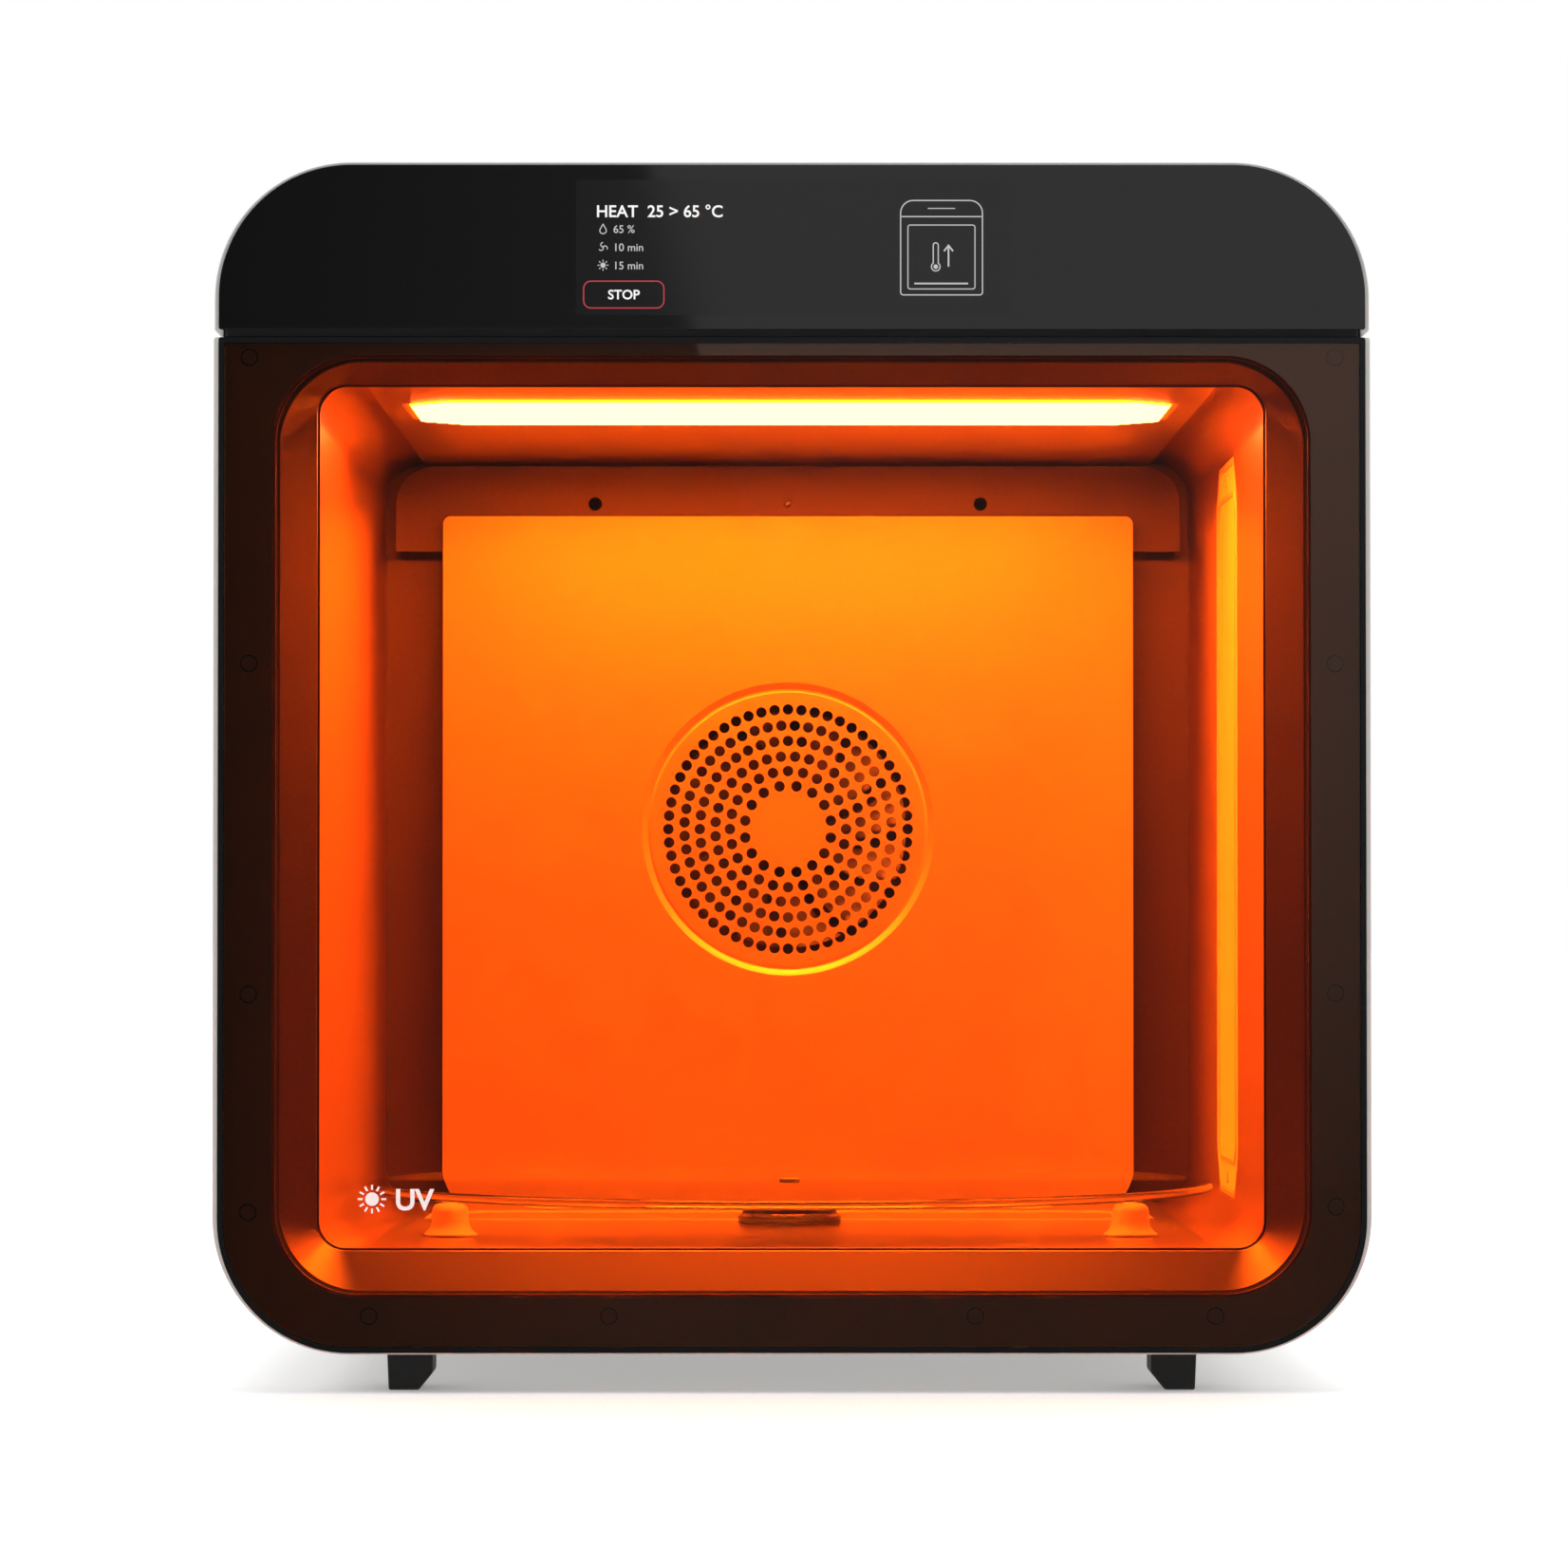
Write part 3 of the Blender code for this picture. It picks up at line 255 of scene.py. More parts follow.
# Colour, roughness, metallic, how much the colour varies and its grain, how much the roughness varies,
# and the strength, grain and depth of the relief.
SOLIDS = {
    "shell_plastic": ((0.58, 0.57, 0.545), 0.42, 0, 0.015, 14, 0.05, 0.35, 1500),
    "gloss_black": ((0.0026, 0.0027, 0.0028), 0.05, 0, 0.1, 6, 0.015),
    "black_rim": ((0.005, 0.006, 0.0065), 0.3, 0, 0.1, 30),
    "black_bore": ((0.002, 0.002, 0.002), 0.5, 0, 0.1, 30, 0.05, 0.1, 1800),
    "display_glass": ((0.0078, 0.0079, 0.008), 0.07, 0, 0.05, 8, 0.01),
    "black_satin": ((0.012, 0.012, 0.012), 0.38, 0, 0.1, 30, 0.06, 0.2, 1800),
    "black_body": ((0.008, 0.008, 0.008), 0.8, 0, 0.1, 30, 0.05, 0.15, 1800),
    "black_frame": ((0.046, 0.04, 0.038), 0.45, 0, 0.1, 30, 0.05, 0.15, 1800),
    "black_matt": ((0.022, 0.022, 0.023), 0.6, 0, 0.12, 40, 0.08, 0.3, 1400),
    "rubber": ((0.016, 0.016, 0.016), 0.72, 0, 0.15, 60, 0.08, 0.5, 1100),
    "bezel_coat": ((0.0095, 0.009, 0.0095), 0.32, 0, 0.03, 25, 0.01, 0.04, 2200, 0.02),
    "liner_steel": ((0.5, 0.47, 0.44), 0.34, 0.94, 0.01, 3, 0.01),
    # Darker and redder than the ceiling steel: a shaded copy of the liner steel, painted shade on the side
    # walls.
    "side_steel_painted_shade": ((0.3, 0.2, 0.21), 0.33, 0.94, 0.01, 3, 0.01),
    # Darker than the ceiling steel: painted shade, as if the table and what stands on it shadowed the floor.
    "floor_steel_painted_shade": ((0.165, 0.125, 0.125), 0.3, 0.9, 0.01, 3, 0.01),
    "panel_aluminium": ((0.84, 0.84, 0.76), 0.355, 1, 0.02, 220, 0.02, 0.1, 2600, 0.02),
    # Near black, though the back wall and bracket are the same steel as the liner: painted shade behind the
    # fan cover.
    "back_steel_painted_shade": ((0.026, 0.014, 0.017), 0.42, 0.2, 0.01, 8, 0.01),
    "plain_steel": ((0.5, 0.5, 0.5), 0.32, 1, 0.06, 120, 0.08, 0.05, 800),
    "dark_steel": ((0.16, 0.16, 0.165), 0.35, 0.9, 0.08, 150, 0.08, 0.05, 900),
    "cast_aluminium": ((0.7, 0.7, 0.71), 0.38, 1, 0.05, 90, 0.08, 0.08, 1200),
    "grey_powder_coat": ((0.4, 0.4, 0.395), 0.5, 0, 0.05, 420, 0.05, 0.45, 1700, 0.04),
    "white_plastic": ((0.8, 0.78, 0.73), 0.38, 0, 0.03, 60, 0.05, 0.1, 1500),
    "white_board": ((0.78, 0.78, 0.76), 0.5, 0, 0.03, 200),
    "green_board": ((0.015, 0.12, 0.05), 0.4, 0, 0.2, 300),
    "lamp_rim": ((0.62, 0.61, 0.58), 0.45, 0, 0.03, 80, 0.05, 0.1, 1500),
    "print_white": ((0.85, 0.85, 0.85), 0.5, 0, 0.02, 100),
}
SHINE = {
    "gloss_black": dict(Coat_Weight=0.3, Coat_Roughness=0.03),
    "black_rim": dict(Specular_IOR_Level=0.25),
    "black_bore": dict(Specular_IOR_Level=0),
    "black_body": dict(Specular_IOR_Level=0),
    "black_frame": dict(Specular_IOR_Level=0.12),
}
AMBER_SHADOW = (0.15, 0.013, 0.0002)
CLEARS = {  # tint, roughness, index of refraction, tint of lamplight through it, painted glow
    "amber_border": ((1, 0.44, 0.14), 0, 1.49, AMBER_SHADOW),
    # The middle sheet gives off a faint white glow though it is no lamp: painted light.
    "amber_middle": ((1, 0.088, 0.0012), 0, 1.12, AMBER_SHADOW, 0.0028),
    "clear_glass": ((0.93, 0.97, 0.95), 0, 1.50, (0.90, 0.93, 0.91)),
    "clear_acrylic": ((0.10, 0.10, 0.10), 0.12, 1.40, (0.10, 0.10, 0.10)),
}
WARM = (1, 0.95, 0.65)
GLOWS = {  # colour, strength and the grey of the unlit surface
    "lamp_top": (WARM, 215, 0.8),
    "lamp_rib": ((0.045, 0.045, 1), 1050, 0.8),
    "lamp_right": (WARM, 1.2, 0.8),
    "lamp_floor": (WARM, 0.16, 0.10),
    "glow_white": (WHITE[:3], 0.95),
    "glow_grey": (WHITE[:3], 0.55),
    "glow_red": ((0.62, 0.035, 0.06), 0.9),
}


def finishes():
    """Every material of the object, by its name."""
    made = {name: material(name, *values, **SHINE.get(name, {})) for name, values in SOLIDS.items()}
    made.update({name: clear(name, *values) for name, values in CLEARS.items()})
    made.update({name: lit(name, *values) for name, values in GLOWS.items()})
    return made


# ---- mesh tools ----

AXIS_POINT = {"X": lambda u, v, w: (w, u, v), "Y": lambda u, v, w: (u, w, v), "Z": lambda u, v, w: (u, v, w)}
AXIS_ORDER = {"X": (1, 2, 0), "Y": (0, 2, 1), "Z": (0, 1, 2)}
SHARP = math.radians(32)


def box(name):
    """The two corners of a CAD node's box, in millimetres."""
    low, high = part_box(name)
    return low / MM, high / MM


def vertex(solid, point):
    """A vertex at a place in millimetres."""
    return solid.verts.new([c * MM for c in point])


def smoothed(mesh):
    """Smooth where the faces meet at a small angle."""
    mesh.shade_smooth()
    mesh.set_sharp_from_angle(angle=SHARP)


def mesh_object(name, solid, look):
    """An object from a bmesh."""
    bmesh.ops.recalc_face_normals(solid, faces=solid.faces)
    mesh = bpy.data.meshes.new(name)
    solid.to_mesh(mesh)
    solid.free()
    mesh.materials.append(look)
    smoothed(mesh)
    return added(name, mesh)


def cut_away(item, cuts):
    """Take solids away from a piece."""
    tools = [mesh_object("cutting_tool", solid, item.data.materials[0]) for solid in cuts]
    for tool in tools:
        item.modifiers.new("cut", "BOOLEAN").object = tool
    bpy.context.view_layer.update()
    seen = item.evaluated_get(bpy.context.evaluated_depsgraph_get())
    mesh = bpy.data.meshes.new_from_object(seen)
    item.modifiers.clear()
    item.data = mesh
    smoothed(mesh)
    for tool in tools:
        bpy.data.objects.remove(tool, do_unlink=True)


def piece(name, solid, look, slot, *nodes, body="root", soft=0, segments=2, cuts=()):
    """A piece of the object: its look, its slot (which is not used), the CAD nodes it stands for, what it
    rides on, the width of its softened edges and the solids cut away from it."""
    item = mesh_object(name, solid, LOOKS[look])
    if cuts:
        cut_away(item, cuts)
    if soft:
        bevel = item.modifiers.new("soft_edges", "BEVEL")
        bevel.width = soft * MM
        bevel.segments = segments
        bevel.limit_method = "ANGLE"
        bevel.angle_limit = SHARP
        bevel.use_clamp_overlap = True
        item.modifiers.new("even_shading", "WEIGHTED_NORMAL").keep_sharp = True
    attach(item, body)
    if nodes:
        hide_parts(*nodes)
    return item


def dress(name, look):
    """A better material for a CAD node that stays."""
    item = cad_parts[name]
    item.data.materials.clear()
    item.data.materials.append(LOOKS[look])


def placed(solid, turn, spot):
    """A solid turned and then moved to a spot."""
    bmesh.ops.transform(solid, matrix=Matrix.Translation(Vector(spot) * MM) @ turn, verts=solid.verts)
    return solid


def facing(way, axis, up):
    """The turn that points an axis along a way."""
    return way.to_track_quat(axis, up).to_matrix().to_4x4()


def around(loop):
    """Each member of a closed loop with the one after it."""
    return zip(loop, loop[1:] + loop[:1])


def arc(centre, radius, start, end, steps):
    """Points along an arc, in degrees."""
    angles = [math.radians(start + (end - start) * k / steps) for k in range(steps + 1)]
    return [(centre[0] + radius * math.cos(a), centre[1] + radius * math.sin(a)) for a in angles]


def circle(centre, radius, steps=32):
    """A circle's outline."""
    return arc(centre, radius, 0, 360, steps)[:-1]


def rounded(u0, u1, v0, v1, low_radius, high_radius=None, steps=12):
    """A rectangle's outline with round corners, anticlockwise from the low left corner."""
    high_radius = low_radius if high_radius is None else high_radius
    corners = (((u0, v0), low_radius, 1, 1, 180), ((u1, v0), low_radius, -1, 1, 270),
               ((u1, v1), high_radius, -1, -1, 0), ((u0, v1), high_radius, 1, -1, 90))
    points = []
    for (u, v), radius, to_u, to_v, start in corners:
        points += arc((u + to_u * radius, v + to_v * radius), radius, start, start + 90, steps)
    return points


def boxed(low, high, radius, high_radius=None, steps=12, grow=0):
    """A box's outline seen from the front, with round corners."""
    return rounded(low.x - grow, high.x + grow, low.z - grow, high.z + grow, radius, high_radius, steps)


def block(centre, half_u, half_v, radius, steps):
    """The outline of a rectangle with round corners about a centre."""
    u, v = centre
    return rounded(u - half_u, u + half_u, v - half_v, v + half_v, radius, steps=steps)


def plate(outline, low, high, holes=(), axis="Y", into=None):
    """A flat solid with any number of holes, between two levels on an axis."""
    solid = into or bmesh.new()
    point = AXIS_POINT[axis]
    loops = [[[vertex(solid, point(u, v, w)) for u, v in loop] for w in (low, high)]
             for loop in (outline, *holes)]
    caps = ([], [])
    for low_loop, high_loop in loops:
        for (a, b), (d, c) in zip(around(low_loop), around(high_loop)):
            caps[0].append(solid.edges.new((a, b)))
            caps[1].append(solid.edges.new((d, c)))
            solid.faces.new((a, b, c, d))
    for level, edges in enumerate(caps):
        if holes:
            bmesh.ops.triangle_fill(solid, use_beauty=True, use_dissolve=False, edges=edges)
        else:
            solid.faces.new(loops[0][level])
    return solid


def lofted(rings, caps=True, into=None):
    """A skin over rings of points with the same count. It has end caps, or else joins up with itself."""
    solid = into or bmesh.new()
    loops = [[vertex(solid, point) for point in ring] for ring in rings]
    for first, second in list(around(loops))[:-1 if caps else None]:
        for (a, b), (d, c) in zip(around(first), around(second)):
            solid.faces.new((a, b, c, d))
    if caps:
        solid.faces.new(loops[0])
        solid.faces.new(loops[-1])
    return solid


def turned(profile, centre, axis="Z", steps=48, into=None):
    """A turned solid. The profile is (radius, height); it starts and ends on the axis, or joins up."""
    solid = into or bmesh.new()
    point = AXIS_POINT[axis]
    u0, v0, base = (centre[k] for k in AXIS_ORDER[axis])
    rings = []
    for radius, height in profile:
        ring = circle((u0, v0), radius, steps) if radius else [(u0, v0)]
        rings.append([vertex(solid, point(u, v, base + height)) for u, v in ring])
    for one, two in around(rings):
        for k in range(steps):
            corners = dict.fromkeys((one[k % len(one)], one[(k + 1) % len(one)],
                                     two[(k + 1) % len(two)], two[k % len(two)]))
            if len(corners) > 2:
                solid.faces.new(list(corners))
    return solid


def screw_solid(centre, radius, height, socket_radius):
    """A pan-head screw seen along +Y, with a six-lobed socket."""
    x, y, z = centre
    steps = 48
    rings = []
    for r, dy in ((radius, height), (radius, 0.25), (radius - 0.2, 0.06), (radius - 0.45, 0)):
        rings.append([(u, y + dy, v) for u, v in circle((x, z), r, steps)])
    for depth in (0, height * 0.85):
        ring = []
        for k in range(steps):
            angle = k * math.tau / steps
            r = socket_radius * (1 + 0.16 * math.cos(6 * angle))
            ring.append((x + r * math.cos(angle), y + depth, z + r * math.sin(angle)))
        rings.append(ring)
    return lofted(rings)


def rear_screw(name, spot, *sizes):
    """A screw that faces backwards."""
    solid = placed(screw_solid((0, 0, 0), *sizes), Matrix.Rotation(math.pi, 4, "Z"), spot)
    piece(name, solid, "dark_steel", "steel")


# ---- sizes, in millimetres ----

SHELL_LOW, SHELL_HIGH = box("lower_shell")
COVER_LOW, COVER_HIGH = box("top_cover")
FASCIA_LOW, FASCIA_HIGH = box("top_fascia")
DOOR_LOW, DOOR_HIGH = box("door_frame")
SHEET_LOW, SHEET_HIGH = box("door_window")
BEZEL_LOW, BEZEL_HIGH = box("front_bezel")
LINER_LOW, LINER_HIGH = box("liner_right")
CEILING = box("liner_ceiling")
FLOOR = box("liner_floor")
GRILLE = box("fan_grille")
GLASS = box("turntable_glass")

SIDES = (("left", -1), ("right", 1))
CORNER = 60
SHELL_WALL = 4
SHEET_WALL = 1.5
FACE = 251.4
FACE_CORNER = 58
FACE_LOW_Z = 18
SQUARE_CORNER = 1.2
VIEW_HALF = 226.4
VIEW_Z = (43.4, 453.7)
VIEW_CORNER = 37
MOUTH_CORNER = 12
LINER_CORNER = 20
LINER_HALF = 211.2
HINGE = Vector((0, -284, 27))
HINGE_X = 158
TABLE_Y = -10
LAMP_TAPER = 22
GRILLE_Z = (GRILLE[0].z + GRILLE[1].z) / 2
GRILLE_RADIUS = GRILLE[1].x
HOLE_RADIUS = 2.8
HOLE_RINGS = ((22.6, 16), (30.1, 24), (37.7, 32), (45.7, 40), (53.7, 48), (62, 56))
DOOR_SCREWS = ([(-238.2, z) for z in (454, 319.6, 174.6, 79.2)]
               + [(238.2, z) for z in (454, 319.6, 175, 81.7)]
               + [(x, 33.8) for x in (-185.3, -80.2, 80.2, 185.3)])


# ---- casing ----

def arch(half, low, high, upside_down=False):
    """The outline of a U-shaped shell with round corners; it opens upwards unless upside down."""
    left, right = (-half + CORNER, CORNER), (half - CORNER, CORNER)
    inner = CORNER - SHELL_WALL
    steps = 24
    tall = high - low
    points = [(-half, tall), *arc(left, CORNER, 180, 270, steps), *arc(right, CORNER, 270, 360, steps),
              (half, tall), (half - SHELL_WALL, tall), *arc(right, inner, 360, 270, steps),
              *arc(left, inner, 270, 180, steps), (-half + SHELL_WALL, tall)]
    return [(x, high - z if upside_down else low + z) for x, z in points]


def casing():
    """The two moulded shells, with the sloping lower edge of the cover over the groove, and the tray."""
    half = SHELL_HIGH.x
    outline = arch(half, SHELL_LOW.z, SHELL_HIGH.z)
    piece("casing_lower", plate(outline, SHELL_LOW.y, SHELL_HIGH.y), "shell_plastic", "shell",
          "lower_shell", soft=0.5, segments=3)
    inner = half - SHELL_WALL
    depth = 7
    for name, side in SIDES:
        edges = sorted((side * inner, side * (inner - depth)))
        lip = plate(rounded(*edges, SHELL_HIGH.z - SHELL_WALL, SHELL_HIGH.z, 0.4, steps=2),
                    SHELL_LOW.y + 1, SHELL_HIGH.y - 6)
        piece(f"casing_flange_{name}", lip, "shell_plastic", "shell")

    groove = 2.9
    tiny = 0.001
    sloped = [(x, z + groove if abs(abs(x) - half) < tiny and abs(z - COVER_LOW.z) < tiny else z)
              for x, z in arch(half, COVER_LOW.z, COVER_HIGH.z, upside_down=True)]
    piece("casing_top", plate(sloped, COVER_LOW.y, COVER_HIGH.y), "shell_plastic", "shell", "top_cover",
          soft=0.5, segments=3)

    low, high = box("divider_tray")
    wall = 1.6
    outer = rounded(low.x, high.x, low.y, high.y, 1.5, steps=4)
    inner = rounded(low.x + wall, high.x - wall, low.y + wall, high.y - wall, 0.8, steps=4)
    levels = [[(x, y, z) for x, y in ring] for ring, z in
              ((outer, low.z), (outer, high.z), (inner, high.z), (inner, low.z + wall))]
    piece("tray_divider", lofted(levels), "black_matt", "sheet_metal", "divider_tray", soft=0.3)


def feet():
    """Rubber blocks with the lower inner edge cut away."""
    taper = 0.7
    cut_x, cut_z = 6.2, 7.6
    for name_y in ("front", "rear"):
        for name_x, side in SIDES:
            name = f"foot_{name_y}_{name_x}"
            low, high = box(name)
            near, far = sorted((abs(low.x), abs(high.x)))
            profile = ((near, high.z), (near, cut_z), (near + cut_x, 0), (far - taper, 0), (far, high.z))
            solid = plate([(side * u, v) for u, v in profile], low.y, high.y)
            piece(f"rubber_{name}", solid, "rubber", "rubber", name, soft=0.9, segments=3)


def fascia():
    """The glossy black panel over the door."""
    outline = boxed(FASCIA_LOW, FASCIA_HIGH, 1, FACE_CORNER, 24)
    piece("fascia_gloss", plate(outline, FASCIA_LOW.y, FASCIA_HIGH.y), "gloss_black", "gloss_black",
          "top_fascia", soft=0.35, segments=3)


# ---- door ----

def view_outline(grow=0):
    """The clear area of the door, made larger all round."""
    return rounded(-VIEW_HALF - grow, VIEW_HALF + grow, VIEW_Z[0] - grow, VIEW_Z[1] + grow,
                   VIEW_CORNER + grow, steps=24)


def door():
    """Amber sheet in a black frame, with twelve screws behind the sheet and a lipped seal."""
    low_corner = FACE_CORNER - (FACE - SHEET_HIGH.x)
    outline = boxed(SHEET_LOW, SHEET_HIGH, low_corner, 1, 24)
    over, joint = 0.9, 0.02
    border = plate(outline, SHEET_LOW.y, SHEET_HIGH.y, [view_outline(over + joint)])
    piece("amber_border", border, "amber_border", "amber", "door_window", body="door")
    piece("amber_middle", plate(view_outline(over), SHEET_LOW.y, SHEET_HIGH.y), "amber_middle", "amber",
          body="door")

    view = view_outline()
    outer = rounded(-FACE, FACE, FACE_LOW_Z, DOOR_HIGH.z, FACE_CORNER, SQUARE_CORNER, 24)
    gap = 0.25
    pocket = boxed(SHEET_LOW, SHEET_HIGH, low_corner + gap, SQUARE_CORNER, 24, gap)
    step_y = SHEET_HIGH.y + gap
    face_back = step_y + 1.1
    bores = [circle(spot, 3.95, 40) for spot in DOOR_SCREWS]
    piece("door_frame_face", plate(pocket, step_y, face_back, [view, *bores]), "black_frame",
          "black_plastic", body="door")
    piece("door_frame_rim", plate(outer, DOOR_LOW.y, face_back, [pocket]), "black_rim", "black_plastic",
          body="door", soft=0.4)
    piece("door_frame_body", plate(outer, face_back + 0.05, DOOR_HIGH.y, [view]), "black_body",
          "black_plastic", "door_frame", body="door", cuts=hinge_cuts())
    band = boxed(DOOR_LOW, DOOR_HIGH, CORNER, SQUARE_CORNER, 24)
    fit = 0.05
    inner = rounded(-FACE - fit, FACE + fit, FACE_LOW_Z - fit, DOOR_HIGH.z - 0.7, FACE_CORNER,
                    SQUARE_CORNER, 24)
    piece("door_band", plate(band, DOOR_LOW.y + 1.2, DOOR_HIGH.y, [inner]), "shell_plastic", "shell",
          body="door", soft=0.4, segments=3, cuts=hinge_cuts())

    # A black sheet with no shine, darker than the frame body and seen only in the rings round the screws:
    # painted shade in the screw recesses.
    piece("door_bore_painted_shade", plate(outer, face_back + 0.01, face_back + 0.04, [view]), "black_bore",
          "black_plastic", body="door")
    for k, (x, z) in enumerate(DOOR_SCREWS):
        screw = screw_solid((x, step_y + 0.05, z), 3.2, 0.8, 0.75)
        piece(f"door_screw_{k + 1:02d}", screw, "black_frame", "steel", body="door")

    low, high = box("door_seal")
    width = 3
    rings = []
    for out, y in ((0, low.y), (0, low.y + 1.4), (-0.9, low.y + 2.4), (0.1, high.y - 0.2),
                   (-0.5, high.y), (-1.5, high.y - 0.2), (-width + 0.6, low.y + 2.2),
                   (-width, low.y + 1.4), (-width, low.y)):
        ring = boxed(low, high, 40 + out, steps=16, grow=out)
        rings.append([(x, y, z) for x, z in ring])
    piece("door_gasket", lofted(rings, caps=False), "rubber", "rubber", "door_seal", body="door")


def hinge_cuts():
    """What is cut from the door: a notch for each hinge arm and a chamfer along the lower rear edge."""
    reach = 5.2
    arm_half = 9
    chamfer = 2.5
    back, bottom = DOOR_HIGH.y, DOOR_LOW.z
    notch = [(HINGE.y - reach, bottom - 2), (back + 2, bottom - 2), (back + 2, HINGE.z + reach),
             (HINGE.y - reach, HINGE.z + reach)]
    wedge = [(back - chamfer - 1, bottom - 1), (back + 1, bottom - 1), (back + 1, bottom + chamfer + 1)]
    cuts = [plate(notch, x - arm_half, x + arm_half, axis="X") for x in (-HINGE_X, HINGE_X)]
    return [*cuts, plate(wedge, -300, 300, axis="X")]


# ---- chamber ----

def bezel():
    """The face behind the door: flat, then a funnel with a small step at the chamber mouth."""
    lip, rim = 1.4, 1.1
    half, low, high = LINER_HALF - lip, FLOOR[1].z + lip, CEILING[0].z - lip
    front, back = BEZEL_LOW.y, BEZEL_HIGH.y
    throat = back - 2
    edge = (-BEZEL_HIGH.x, BEZEL_HIGH.x, BEZEL_LOW.z, BEZEL_HIGH.z, CORNER - SHELL_WALL, 1.5)
    view = (-VIEW_HALF, VIEW_HALF, *VIEW_Z, VIEW_CORNER, VIEW_CORNER)
    wide = (-half - rim, half + rim, low - rim, high + rim, MOUTH_CORNER + rim, MOUTH_CORNER + rim)
    mouth = (-half, half, low, high, MOUTH_CORNER, MOUTH_CORNER)
    rings = [[(x, y, z) for x, z in rounded(*sizes, steps=20)] for sizes, y in
             ((edge, back), (edge, front), (view, front), (wide, throat - 0.4), (wide, throat + 0.8),
              (mouth, throat + 0.8), (mouth, back))]
    piece("bezel_funnel", lofted(rings, caps=False), "bezel_coat", "sheet_metal", "front_bezel", soft=0.3)


def liner():
    """Side channels with round corners, ceiling and floor sheets with openings for the lamps."""
    steps = 14
    flange = 188
    gap = 0.3
    low_z, high_z = LINER_LOW.z + SHEET_WALL, LINER_HIGH.z - SHEET_WALL
    lower = (LINER_HALF - LINER_CORNER, low_z + LINER_CORNER)
    upper = (LINER_HALF - LINER_CORNER, high_z - LINER_CORNER)
    outer = LINER_CORNER + SHEET_WALL
    outline = [(flange, low_z - SHEET_WALL), *arc(lower, outer, 270, 360, steps),
               *arc(upper, outer, 0, 90, steps), (flange, high_z + SHEET_WALL), (flange, high_z),
               *arc(upper, LINER_CORNER, 90, 0, steps), *arc(lower, LINER_CORNER, 0, -90, steps),
               (flange, low_z)]
    low, high = box("led_window_right")
    opening = plate(lamp_outline(low.y, high.y, low.z, high.z, gap), low.x - 5, high.x + 5, axis="X")
    for name, side in SIDES:
        solid = plate([(side * x, z) for x, z in outline], LINER_LOW.y, LINER_HIGH.y)
        # The side sheets take the shaded copy of the liner steel: painted shade.
        piece(f"liner_{name}_sheet", solid, "side_steel_painted_shade", "polished_steel", f"liner_{name}", soft=0.25,
              cuts=[opening] if side > 0 else ())
    # The floor sheet gets a darker steel than the ceiling: painted shade.
    for name, (low, high), look in (("ceiling", CEILING, "liner_steel"), ("floor", FLOOR, "floor_steel_painted_shade")):
        lamp_low, lamp_high = box(f"led_window_{name}")
        holes = [lamp_outline(lamp_low.x, lamp_high.x, lamp_low.y, lamp_high.y, gap)]
        if name == "floor":
            holes.append(circle((0, TABLE_Y), 5.5))
        outline = rounded(low.x, high.x, low.y, high.y, 0.5, steps=2)
        piece(f"liner_{name}_sheet", plate(outline, low.z, high.z, holes, "Z"), look, "polished_steel",
              f"liner_{name}", soft=0.3)


def lamp_outline(u0, u1, v0, v1, grow=0, taper=LAMP_TAPER):
    """A lamp window's outline: a rectangle with its corners cut off and the cuts softened."""
    u0, u1, v0, v1 = u0 - grow, u1 + grow, v0 - grow, v1 + grow
    soft = taper * 0.35
    points = []
    for u, v, to_u, to_v in ((u0, v0, 1, 1), (u1, v0, -1, 1), (u1, v1, -1, -1), (u0, v1, 1, -1)):
        # Each end of the cut, with the point beyond it on the straight side.
        ends = [((u, v + to_v * taper), (u, v + to_v * (taper + soft))),
                ((u + to_u * taper, v), (u + to_u * (taper + soft), v))]
        (first, before), (last, after) = ends if to_u == to_v else ends[::-1]
        points += bent(before, first, last)[:-1]
        points += bent(first, last, after)[1:]
    return points


def bent(start, corner, end):
    """A short curve that cuts a corner, from halfway before it to halfway after it."""
    steps = 4
    points = []
    for t in (k / steps for k in range(steps + 1)):
        points.append([(1 - t) ** 2 * (s + c) / 2 + 2 * t * (1 - t) * c + t ** 2 * (c + e) / 2
                       for s, c, e in zip(start, corner, end)])
    return points


def arch_down(low, high, radius, inset=0):
    """A box's outline seen from the front, round at the two upper corners, open at the bottom."""
    x0, x1, z1 = low.x + inset, high.x - inset, high.z - inset
    radius -= inset
    return [(x0, low.z), *arc((x0 + radius, z1 - radius), radius, 180, 90, 10),
            *arc((x1 - radius, z1 - radius), radius, 90, 0, 10), (x1, low.z)]


def folded(name, corners, radius, holes, look, node, soft):
    """A sheet's face with its wall bent back all round it."""
    low, high = corners
    outline = arch_down(low, high, radius)
    piece(f"{name}_face", plate(outline, low.y, low.y + SHEET_WALL, holes), look, "polished_steel",
          node, soft=soft, segments=3)
    inner = arch_down(low, high, radius, SHEET_WALL)
    wrap = plate(outline + inner[::-1], low.y + SHEET_WALL, high.y)
    piece(f"{name}_wrap", wrap, look, "polished_steel")


